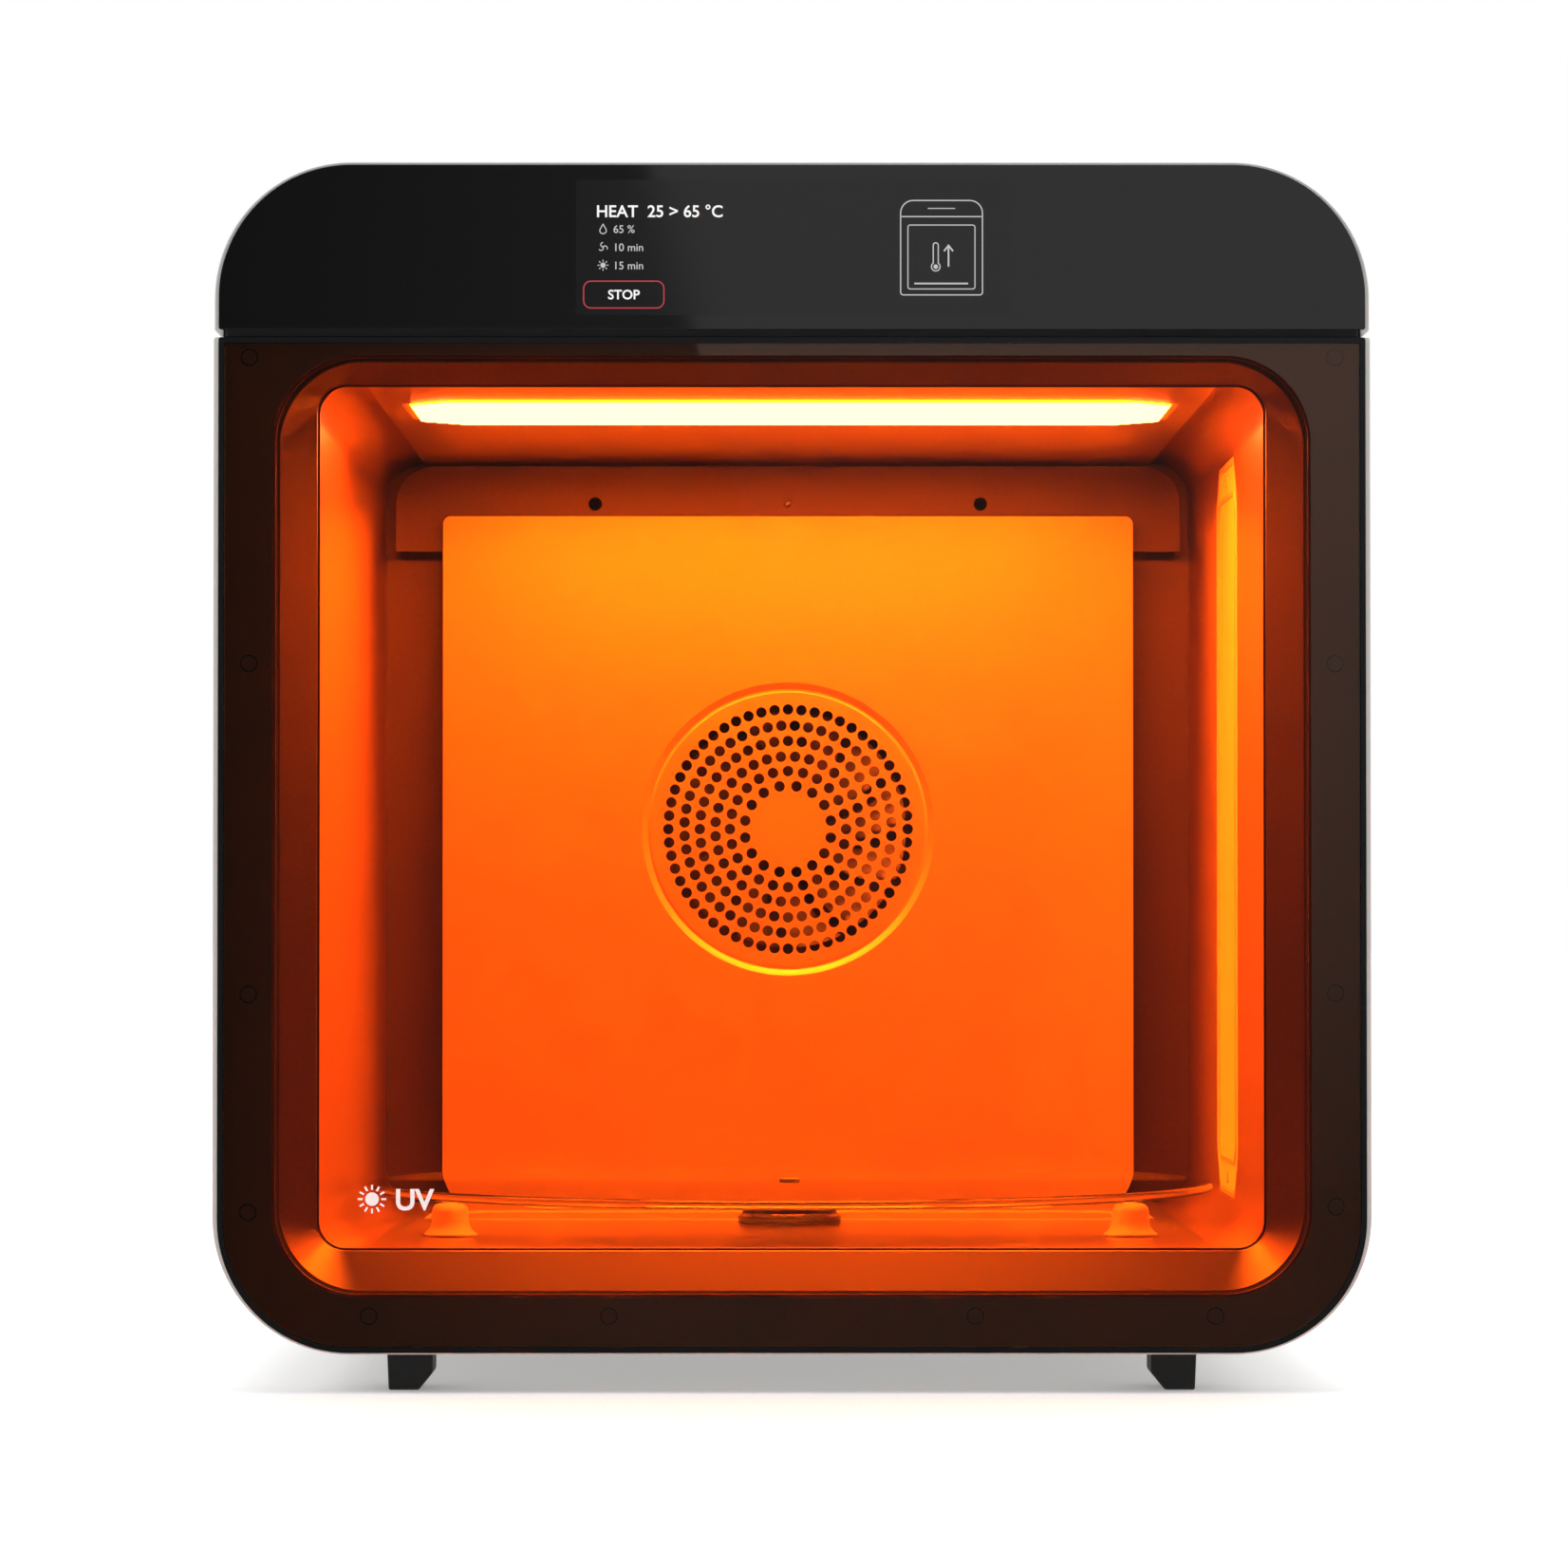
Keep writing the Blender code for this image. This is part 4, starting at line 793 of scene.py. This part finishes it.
def back():
    """Back wall, bracket, fan cover, grille, screws and sensor."""
    low, high = box("chamber_back_wall")
    outline = boxed(low, high, 4, steps=6)
    # Back wall, bracket and hook take the near-black copy of the chamber steel: painted shade.
    piece("back_wall_sheet", plate(outline, low.y, high.y, [circle((0, GRILLE_Z), 6, 24)]),
          "back_steel_painted_shade", "polished_steel", "chamber_back_wall", soft=0.3)

    screw_z, screw_x = 424, 100.6
    holes = [circle((x, screw_z), radius, 20) for x, radius in ((0, 1.8), (-screw_x, 1.9), (screw_x, 1.9))]
    folded("bracket", box("fan_cover_bracket"), 20, holes, "back_steel_painted_shade", "fan_cover_bracket", 0.4)
    for name, side in SIDES:
        spot = (side * screw_x, box(f"bracket_screw_{name}")[0].y, screw_z)
        screw = screw_solid(spot, 3.4, 1.8, 1.5)
        turned([(0, 1.5), (1.5, 1.5), (1.5, 8.5), (0, 8.8)], spot, "Y", 20, into=screw)
        piece(f"bracket_screw_fine_{name}", screw, "black_bore", "steel", f"bracket_screw_{name}")
    tip = turned([(0, 0), (1, 0.1), (1.5, 0.8), (1.5, 2.9), (4, 2.9), (4, 6.5), (1.5, 7), (1.5, 13),
                  (0, 13)], (0, box("temperature_sensor")[0].y, screw_z), "Y", 28)
    piece("sensor_probe", tip, "dark_steel", "steel", "temperature_sensor")

    low, high = box("fan_cover")
    hole = circle((0, GRILLE_Z), GRILLE_RADIUS + 0.5, 128)
    folded("fan_cover", (low, high), 4, [hole], "panel_aluminium", "fan_cover", 0.45)
    hook = plate(rounded(-160, 160, high.z - 0.5, high.z + 1.3, 0.4, steps=3), low.y + 6, low.y + 7.2)
    piece("fan_cover_hook", hook, "back_steel_painted_shade", "polished_steel", soft=0.2)

    low, high = GRILLE
    holes = []
    for k, (radius, count) in enumerate(HOLE_RINGS):
        start = 0 if k % 2 else math.pi / count
        for n in range(count):
            angle = math.pi / 2 + start + n * math.tau / count
            spot = (radius * math.cos(angle), GRILLE_Z + radius * math.sin(angle))
            holes.append(circle(spot, HOLE_RADIUS, 20))
    disc = plate(circle((0, GRILLE_Z), 71.2, 160), low.y, high.y, holes)
    piece("grille_disc", disc, "panel_aluminium", "polished_steel", "fan_grille")
    groove = [(76.2, 1.9), (76.2, 0.2), (76, 0), (75.6, 0.05), (73.5, 1.1), (72.6, 1.3), (71.9, 0.7),
              (71.5, 0.1), (71.2, -0.02), (70.6, -0.02), (70.6, 1.9)]
    piece("grille_groove", turned(groove, (0, low.y, GRILLE_Z), "Y", 192), "panel_aluminium",
          "polished_steel")


def lamps():
    """Frosted windows with an inner frame line, and the boards and heat sinks behind them."""
    width = 3
    for name, axis, inward, glow in (("ceiling", 2, -1, "lamp_top"), ("right", 0, -1, "lamp_right"),
                                     ("floor", 2, 1, "lamp_floor")):
        low, high = box(f"led_window_{name}")
        (u0, u1), (v0, v1) = [(low[k], high[k]) for k in range(3) if k != axis]
        sides = (u0, u1, v0, v1)
        face = low[axis] if inward < 0 else high[axis]

        def layer(outline, proud, deep, holes=()):
            levels = sorted((face + inward * proud, face - inward * deep))
            return plate(outline, *levels, holes, "XYZ"[axis])

        inset = lamp_outline(*sides, -width, LAMP_TAPER - width * 0.4)
        piece(f"lamp_frame_{name}", layer(lamp_outline(*sides), 0, 3, [inset]), "lamp_rim", "lit_window",
              f"led_window_{name}", soft=0.4)
        gap_line = lamp_outline(*sides, -width - 0.4, LAMP_TAPER - width * 0.5)
        proud = 0.8 if name == "ceiling" else -0.5
        piece(f"lamp_glass_{name}", layer(gap_line, proud, 2.6), glow, "lit_window", soft=0.5)
        u, v = (u0 + u1) / 2, (v0 + v1) / 2
        from_end = 9
        ends = ((u0 + from_end, v), (u1 - from_end, v)) if u1 - u0 > v1 - v0 else \
            ((u, v0 + from_end), (u, v1 - from_end))
        for end, spot in zip("ab", ends):
            piece(f"lamp_clip_{name}_{end}", layer(block(spot, 3, 3, 1.5, 5), 0.3, 0.6), "lamp_rim",
                  "lit_window", soft=0.2)
        if name == "ceiling":
            ribs(*sides, face - proud, width)
        else:
            ridge = layer(lamp_outline(*sides, -16, 8), 0.2, 0.6, [lamp_outline(*sides, -18.5, 7)])
            piece(f"lamp_ridge_{name}", ridge, "lamp_rim", "lit_window", soft=0.2)
        dress(f"led_board_{name}", "white_board")
        dress(f"heat_sink_{name}", "cast_aluminium")


def ribs(x0, x1, y0, y1, top, margin):
    """Fine ribs across the window, whose upright front faces send light forwards."""
    solid = bmesh.new()
    count = 24
    tall, deep = 0.46, 0.9
    pitch = (y1 - y0 - 2 * margin - 1.2) / count
    for k in range(count):
        y = y0 + margin + 0.6 + (k + 0.9) * pitch
        from_edge = min(y - y0, y1 - y)
        cut_back = max(0, LAMP_TAPER - from_edge) + margin + 0.8
        outline = [(y, top - tall), (y + deep, top), (y, top)]
        plate(outline, x0 + cut_back, x1 - cut_back, axis="X", into=solid)
    item = piece("lamp_ribs", solid, "lamp_rib", "lit_window")
    item.data.materials.append(LOOKS["lamp_top"])
    for face in item.data.polygons:
        face.material_index = 0 if face.normal.y < -0.9 else 1


# ---- turntable ----

def turntable():
    """Glass disc with a polished round edge, clear stepped hub, rollers in domed mounts."""
    low, high = GLASS
    thick = high.z - low.z
    edge = thick * 0.42
    profile = [(0, 0), *arc((high.x - edge, edge), edge, 270, 360, 5),
               *arc((high.x - edge, thick - edge), edge, 0, 90, 5), (0, thick)]
    piece("table_glass", turned(profile, (0, TABLE_Y, low.z), steps=192), "clear_glass", "clear_glass",
          "turntable_glass", body="turntable")

    low, high = box("turntable_hub")
    floor = FLOOR[1].z + 0.3
    top = high.z - floor
    profile = [(0, 0), (24.4, 0), (25, 0.6), (25, 3.6), (23.6, 4.4), (23, 5.2), (23, top - 4),
               (24.4, top - 3.2), (24.8, top - 0.5), (24.3, top), (0, top)]
    piece("table_hub", turned(profile, (0, TABLE_Y, floor), steps=96), "clear_acrylic", "clear_glass",
          "turntable_hub", body="turntable")
    profile = [(0, low.z), (3.6, low.z), (4, low.z + 0.4), (4, floor - 0.1), (0, floor - 0.1)]
    piece("table_shaft", turned(profile, (0, TABLE_Y, 0), steps=32), "plain_steel", "clear_glass",
          body="turntable")
    profile = [(0, 0), (5, 0), (5, 1), (3.4, 1.5), (0, 1.7)]
    piece("table_cap", turned(profile, (0, TABLE_Y, GLASS[1].z + 0.02), steps=40), "dark_steel",
          "clear_glass", body="turntable")

    for name in ("front_right", "rear_right", "rear_left", "front_left"):
        low, high = box(f"roller_mount_{name}")
        middle = (low + high) / 2
        outward = Vector((middle.x, middle.y - TABLE_Y, 0)).normalized()
        roller_mount(name, middle, low.z, high.z, outward)
        roller_wheel(name, outward)


def roller_mount(name, middle, base, top, outward):
    """A dome on a flared skirt, with a slot for the wheel."""
    height = top - base
    profile = [(0, 0), (12.4, 0), (12.5, 0.8), (10.6, 2.2), (9.3, 4), (8.6, 6.4),
               (8.4, height - 4), *arc((4.6, height - 3.8), 3.8, 0, 90, 6), (0, height)]
    wheel_z = GLASS[0].z - 0.3 - 6
    slot, slot_half = 6.5, 2.9
    outline = [(u, v) for u, v in circle((0, wheel_z), slot, 36) if v < wheel_z - 0.001]
    outline += [(slot, top + 5), (-slot, top + 5)]
    opening = placed(plate(outline, -slot_half, slot_half), facing(outward, "Y", "Z"),
                     (middle.x, middle.y, 0))
    piece(f"roller_dome_{name}", turned(profile, (middle.x, middle.y, base), steps=56), "white_plastic",
          "white_plastic", f"roller_mount_{name}", soft=0.3, cuts=[opening])


def roller_wheel(name, outward):
    """A wheel with a crowned tread and its axle."""
    low, high = box(f"roller_wheel_{name}")
    side = [(1.25, 6.4), (1.25, 2.5), (4.4, 2.5), (4.6, 2.1), (5.3, 2.5), (5.8, 2.2), (6, 0.8)]
    profile = [(0, -6.4), *((r, -w) for r, w in side), *side[::-1], (0, 6.4)]
    solid = placed(turned(profile, (0, 0, 0)), facing(outward, "Z", "Y"), (low + high) / 2)
    piece(f"roller_tyre_{name}", solid, "white_plastic", "white_plastic", f"roller_wheel_{name}",
          body=f"roller_{name}")


# ---- display, door mark ----

def lettering(solid, text, x, z, height, y, bold=0, centred=False):
    """Flat letters, with their baseline at z and a given capital height."""
    curve = bpy.data.curves.new("letters", "FONT")
    curve.body = text
    curve.size = height * MM / 0.72
    curve.offset = bold * MM
    curve.resolution_u = 4
    curve.align_x = "CENTER" if centred else "LEFT"
    item = added("letters", curve)
    bpy.context.view_layer.update()
    mesh = bpy.data.meshes.new_from_object(item.evaluated_get(bpy.context.evaluated_depsgraph_get()))
    mesh.transform(Matrix.Translation((x * MM, y * MM, z * MM)) @ Matrix.Rotation(math.pi / 2, 4, "X"))
    solid.from_mesh(mesh)
    bpy.data.objects.remove(item, do_unlink=True)
    bpy.data.meshes.remove(mesh)
    return solid


def stroke(solid, points, width, y, closed=False):
    """A flat line through points, of one width, with mitred bends."""
    count = len(points)
    sides = ([], [])
    for k, (u, v) in enumerate(points):
        before = points[(k - 1) % count] if closed or k else points[k]
        after = points[(k + 1) % count] if closed or k < count - 1 else points[k]
        ways = []
        for first, second in ((before, (u, v)), ((u, v), after)):
            way = Vector((second[0] - first[0], second[1] - first[1]))
            if way.length > 1e-6:
                ways.append(way.normalized())
        mean = sum(ways, Vector((0, 0))).normalized()
        across = Vector((-mean.y, mean.x))
        reach = width / 2 / max(0.4, across.dot(Vector((-ways[0].y, ways[0].x))))
        for side, sign in zip(sides, (1, -1)):
            side.append(vertex(solid, (u + sign * across.x * reach, y, v + sign * across.y * reach)))
    for (a, b), (d, c) in list(zip(around(sides[0]), around(sides[1])))[:None if closed else -1]:
        solid.faces.new((a, b, c, d))
    return solid


def disc(solid, centre, radius, y, steps=24):
    """A flat disc."""
    solid.faces.new([vertex(solid, (u, y, v)) for u, v in circle(centre, radius, steps)])


def sun(solid, centre, radius, y, rays, width):
    """A disc with rays."""
    disc(solid, centre, radius * 0.48, y)
    for k in range(rays):
        angle = math.tau * k / rays
        stroke(solid, [(centre[0] + math.cos(angle) * radius * r, centre[1] + math.sin(angle) * radius * r)
                       for r in (0.66, 1)], width, y)
    return solid


def inked(name, solid, look, body="root"):
    """Flat marks, all turned to face the front."""
    for face in solid.faces:
        face.normal_update()
        if face.normal.y > 0:
            face.normal_flip()
    mesh = bpy.data.meshes.new(name)
    solid.to_mesh(mesh)
    solid.free()
    mesh.materials.append(LOOKS[look])
    item = added(name, mesh)
    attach(item, body)


def display():
    """The bar display's lit area, with general-purpose readings, a stop button and a device sketch."""
    y = FASCIA_LOW.y - 0.02
    area = plate(rounded(-94.8, 95.3, 472.2, 531.8, 0.8, steps=4), y, y + 0.015)
    piece("display_area", area, "display_glass", "gloss_black", "display_module")

    y -= 0.02
    title = lettering(bmesh.new(), "HEAT  25 > 65 °C", -86, 515.4, 5.3, y, 0.1)
    inked("display_title", title, "glow_white")
    lines = bmesh.new()
    for text, z in (("65 %", 508.4), ("10 min", 500.4), ("15 min", 492.4)):
        lettering(lines, text, -78.5, z, 3.5, y, 0.02)
    drop = [(-82.9, 512.2), (-81.8, 510.4), (-81.4, 509.3), (-81.9, 508.4), (-82.9, 508), (-83.9, 508.4),
            (-84.4, 509.3), (-84, 510.4)]
    stroke(lines, drop, 0.42, y, True)
    x, z = centre = (-82.9, 502.2)
    for start in (90, 210, 330):
        turn = math.radians(start)
        stroke(lines, arc((x + math.cos(turn), z + math.sin(turn)), 1, start, start + 150, 8), 0.42, y)
    disc(lines, centre, 0.45, y, 12)
    sun(lines, (-82.9, 494.2), 2.4, y, 8, 0.4)
    inked("display_lines", lines, "glow_grey")

    button = rounded(-91.4, -56.2, 475.4, 487.2, 3.2, steps=8)
    inked("display_button", stroke(bmesh.new(), button, 0.5, y, True), "glow_red")
    word = lettering(bmesh.new(), "STOP", -73.8, 479.3, 4.2, y, 0.1, True)
    inked("display_button_word", word, "glow_white")

    sketch = bmesh.new()
    bulb = arc((63, 493.6), 1.9, 125, 415, 16)
    tube = [(64.1, 503), *arc((63, 503), 1.1, 0, 180, 8), (61.9, 495.1), *bulb[1:-1], (64.1, 495.1)]
    for points, width, closed in (
            (rounded(47.6, 83.5, 481.2, 522.7, 1.2, 5.5, 8), 0.5, True),
            ([(48, 515.6), (83.1, 515.6)], 0.5, False),
            (rounded(50.8, 80.2, 483.8, 511.9, 1, steps=4), 0.45, True),
            ([(53.6, 486.2), (77.2, 486.2)], 0.7, False),
            ([(59.5, 519.2), (71.5, 519.2)], 0.4, False),
            (tube, 0.5, True),
            ([(68.6, 493.6), (68.6, 502.6)], 0.7, False),
            ([(66.6, 500.4), (68.6, 502.9), (70.6, 500.4)], 0.7, False)):
        stroke(sketch, points, width, y, closed)
    disc(sketch, (63, 493.6), 1, y, 16)
    inked("display_sketch", sketch, "glow_grey")


def door_mark():
    """A general mark at the door's lower left: a sun and two letters."""
    y = SHEET_LOW.y - 0.03
    mark = sun(bmesh.new(), (-183.6, 85.2), 6.2, y, 12, 0.8)
    lettering(mark, "UV", -173.6, 80.6, 9.2, y, 0.3)
    inked("door_print", mark, "print_white", "door")


# ---- hinges, back ----

def hinges():
    """Arms with round knuckles and two bolts each, and pins with chamfered ends."""
    for name, _ in SIDES:
        low, high = box(f"hinge_arm_{name}")
        radius = (high.z - low.z) / 2
        outline = [*arc((HINGE.y, HINGE.z), radius, 90, 270, 20), (high.y - 1, low.z), (high.y, low.z + 1),
                   (high.y, high.z - 3), (high.y - 3, high.z)]
        piece(f"hinge_bar_{name}", plate(outline, low.x, high.x, [circle((HINGE.y, HINGE.z), 2.3, 24)], "X"),
              "plain_steel", "steel", f"hinge_arm_{name}", soft=0.5)
        for k, y in enumerate((-243, -255)):
            bolt = turned([(0, 0), (3.4, 0), (3.4, 1), (2.6, 2), (0, 2.4)],
                          ((low.x + high.x) / 2, y, high.z + 0.05), steps=24)
            piece(f"hinge_bolt_{name}_{k + 1}", bolt, "dark_steel", "steel")
        low, high = box(f"hinge_pin_{name}")
        half = (high.x - low.x) / 2
        end = half - 0.5
        profile = [(0, -half), (1.4, -half), (2, -end), (2, end), (1.4, half), (0, half)]
        pin = turned(profile, ((low.x + high.x) / 2, HINGE.y, HINGE.z), "X", 24)
        piece(f"hinge_rod_{name}", pin, "cast_aluminium", "steel", f"hinge_pin_{name}", body="door")


def middle_of(low, high):
    """A box's middle, seen from the front."""
    return (low.x + high.x) / 2, (low.z + high.z) / 2


def rear():
    """Back panel with slots, screws and fan opening; the inlet, the switch and the cooling fan."""
    low, high = box("rear_panel")
    outline = boxed(low, high, CORNER - SHELL_WALL, steps=20)
    fan, inlet, switch = (middle_of(*box(name)) for name in ("cooling_fan_frame", "power_inlet",
                                                             "switch_housing"))
    holes = [block(inlet, 13.8, 10.3, 0.5, 2), block(switch, 10, 14, 0.5, 2)]
    ring_width, ring_gap, half_bar = 3.4, 1.6, 0.9
    for k in range(5):
        inner = 4.5 + k * (ring_width + ring_gap)
        outer = inner + ring_width
        clear_in, clear_out = (math.degrees(half_bar / radius) for radius in (inner, outer))
        for start in (45, 135, 225, 315):
            holes.append(arc(fan, outer, start + clear_out, start + 90 - clear_out, 14)
                         + arc(fan, inner, start + 90 - clear_in, start + clear_in, 14))
    holes += [block((side * 150, 100 + 14 * k), 40, 2, 1.9, 6) for side in (-1, 1) for k in range(6)]
    piece("back_panel", plate(outline, low.y, high.y, holes), "grey_powder_coat", "sheet_metal",
          "rear_panel", soft=0.25)

    spots = [(x, z) for x in (-236, 236) for z in (110, 280, 440, 488)]
    spots += [(x, z) for x in (-150, 0, 150) for z in (32, 458)]
    spots += [(-147, 528), (-93, 528), (-147, 473), (-93, 473)]
    for k, (x, z) in enumerate(spots):
        rear_screw(f"back_screw_{k + 1:02d}", (x, high.y + 1.45, z), 3, 1.4, 1.2)

    inlet_parts(inlet, high.y)
    switch_parts(switch, high.y)
    fan_parts(fan)


def cased(flange, body, opening, low_y, floor_y, panel_y, face_y, names, soft, node):
    """A flange on the back panel over a body with a floor, both with the same opening."""
    piece(names[0], plate(flange, panel_y + 0.3, face_y, [opening]), "black_matt", "black_plastic",
          node, soft=soft)
    walls = plate(body, floor_y[1], panel_y + 0.35, [opening])
    piece(names[1], plate(body, low_y, floor_y[0], into=walls), "black_matt", "black_plastic")


def inlet_parts(centre, panel_y):
    """A three-pin inlet: flange, shaped socket with a floor, and three blades."""
    x, z = centre
    low, high = box("power_inlet")
    cup = [(x - 11.5, z - 7), (x + 11.5, z - 7), (x + 11.5, z + 3), (x + 7.5, z + 7), (x - 7.5, z + 7),
           (x - 11.5, z + 3)]
    floor_y = 274.5
    cased(block(centre, 20, 12.5, 3, 8), block(centre, 13.5, 10, 1, 3), cup, low.y, (floor_y - 0.02, floor_y),
          panel_y, high.y, ("inlet_flange", "inlet_socket"), 0.4, "power_inlet")
    blades = bmesh.new()
    for dx, dz in ((-7, -1.5), (0, 2), (7, -1.5)):
        plate(block((x + dx, z + dz), 1, 2, 0.3, 2), floor_y + 0.02, 288, into=blades)
    piece("inlet_blades", blades, "plain_steel", "black_plastic", soft=0.3)
    for k, dx in enumerate((-16.6, 16.6)):
        rear_screw(f"inlet_screw_{k + 1}", (x + dx, high.y + 0.82, z), 1.9, 0.8, 0.8)


def switch_parts(centre, panel_y):
    """A rocker in its housing."""
    low, high = box("switch_housing")
    cased(block(centre, 12.5, 16.5, 1.4, 5), block(centre, 9.7, 13.7, 0.6, 2),
          block(centre, 6.5, 9.85, 0.4, 2), low.y, (276.9, 277), panel_y, high.y,
          ("switch_flange", "switch_body"), 0.35, "switch_housing")

    tilt = math.radians(7)
    radius, face = 9.4, 6.3
    reach = math.sqrt(radius ** 2 - face ** 2)
    start = math.degrees(math.atan2(face * 0.82, reach * 1.02))
    outline = [(v, u) for u, v in arc((0, 0), radius, 180 - start, 360 + start, 40)]
    steps = 12
    for k in range(1, steps):
        t = -1 + 2 * k / steps
        outline.append((face - abs(t) * reach * math.tan(tilt) * 0.9, t * reach * 0.96))
    pivot = (centre[0], 287.2, centre[1])
    solid = placed(plate(outline, -6, 6, axis="X"), Matrix.Rotation(-tilt, 4, "X"), pivot)
    piece("rocker", solid, "black_satin", "black_plastic", "power_switch", body="switch_rocker", soft=0.4)


def fan_parts(centre):
    """Square frame with a round duct and corner holes, and a seven-blade rotor."""
    low, high = box("cooling_fan_frame")
    x, z = centre
    holes = [circle(centre, 28, 96)]
    holes += [circle((x + sx * 25, z + sz * 25), 2.2, 20) for sx in (-1, 1) for sz in (-1, 1)]
    outline = boxed(low, high, 4, steps=8)
    piece("cooler_frame", plate(outline, low.y, high.y, holes), "black_matt", "dark_plastic",
          "cooling_fan_frame", soft=0.5)
    hub_y = low.y + 0.2
    struts = turned([(0, 0), (12, 0), (12, 1), (0, 1)], (x, hub_y, z), "Y", 40)
    for k in range(4):
        angle = math.radians(30 + 90 * k)
        way = Vector((math.cos(angle), math.sin(angle)))
        side = Vector((-way.y, way.x)) * 1.4
        inner, outer = way * 11, way * 28.2
        corners = (inner - side, outer - side, outer + side, inner + side)
        plate([(x + c.x, z + c.y) for c in corners], hub_y, hub_y + 0.9, into=struts)
    piece("cooler_struts", struts, "black_matt", "dark_plastic", soft=0.2)

    low, high = box("cooling_fan_rotor")
    rotor("cooler_rotor", centre, low.y, high.y, 11.5, 26.2, 7, "cooling_fan", "dark_plastic",
          "cooling_fan_rotor")


def rotor(name, centre, low_y, high_y, hub, tip, blades, body, slot, node_name):
    """A hub with a bevelled edge and swept, twisted blades."""
    depth = high_y - low_y
    profile = [(0, 0), (hub - 1, 0), (hub, 1), (hub, depth - 1.4), (hub - 1.4, depth), (0, depth)]
    piece(name + "_hub", turned(profile, (centre[0], low_y, centre[1]), "Y", 56), "black_satin", slot,
          node_name, body=body)
    solid = bmesh.new()
    radial, chord = 12, 10
    root = hub - 0.4
    sweep = math.tau / blades * 0.72
    for blade in range(blades):
        rings = []
        for t in (i / radial for i in range(radial + 1)):
            radius = root + (tip - root) * t
            top, bottom = [], []
            for c in (j / chord for j in range(chord + 1)):
                angle = math.tau * blade / blades + sweep * (c - 0.5) + 0.28 * t ** 2
                bulge = math.sin(math.pi * c)
                y = low_y + depth * (0.10 + 0.78 * c + 0.06 * bulge)
                thick = 0.55 * (0.35 + bulge)
                u, v = centre[0] + radius * math.cos(angle), centre[1] + radius * math.sin(angle)
                top.append((u, min(high_y, y + thick), v))
                bottom.append((u, max(low_y, y - thick), v))
            rings.append(top + bottom[::-1])
        lofted(rings, into=solid)
    piece(name + "_blades", solid, "black_satin", slot, body=body)


# ---- inside, out of sight ----

def inside():
    """The hot-air impeller, the heater, and finishes for the pieces that stay as they are."""
    low, high = box("fan_impeller")
    blades_end = 214.9
    rotor("impeller", (0, GRILLE_Z), low.y, blades_end, 16, 61.5, 12, "hot_air_fan", "aluminium",
          "fan_impeller")
    profile = [(0, blades_end), (4, blades_end), (4, high.y), (0, high.y)]
    piece("impeller_shaft", turned(profile, (0, 0, GRILLE_Z), "Y", 28), "plain_steel", "aluminium",
          body="hot_air_fan")

    low, high = box("heater_coil")
    tube, apart = 3.2, 2.6
    y = (low.y + high.y) / 2
    tubes = bmesh.new()
    for inset, spot in ((0.2, y - apart), (7.5, y + apart)):
        section = circle((high.x - tube - inset, 0), tube, 14)
        turned(section, (0, spot, GRILLE_Z), "Y", 96, into=tubes)
    piece("heater_tubes", tubes, "dark_steel", "steel", "heater_coil")
    for name, look in (("base_tray", "grey_powder_coat"), ("control_board", "green_board"),
                       ("power_supply", "cast_aluminium"), ("fan_motor", "cast_aluminium"),
                       ("turntable_motor", "plain_steel")):
        dress(name, look)


# ---- build ----

LOOKS = finishes()
studio()
camera()
for make in (casing, feet, fascia, door, bezel, liner, back, lamps, turntable, display, door_mark, hinges,
             rear, inside):
    make()
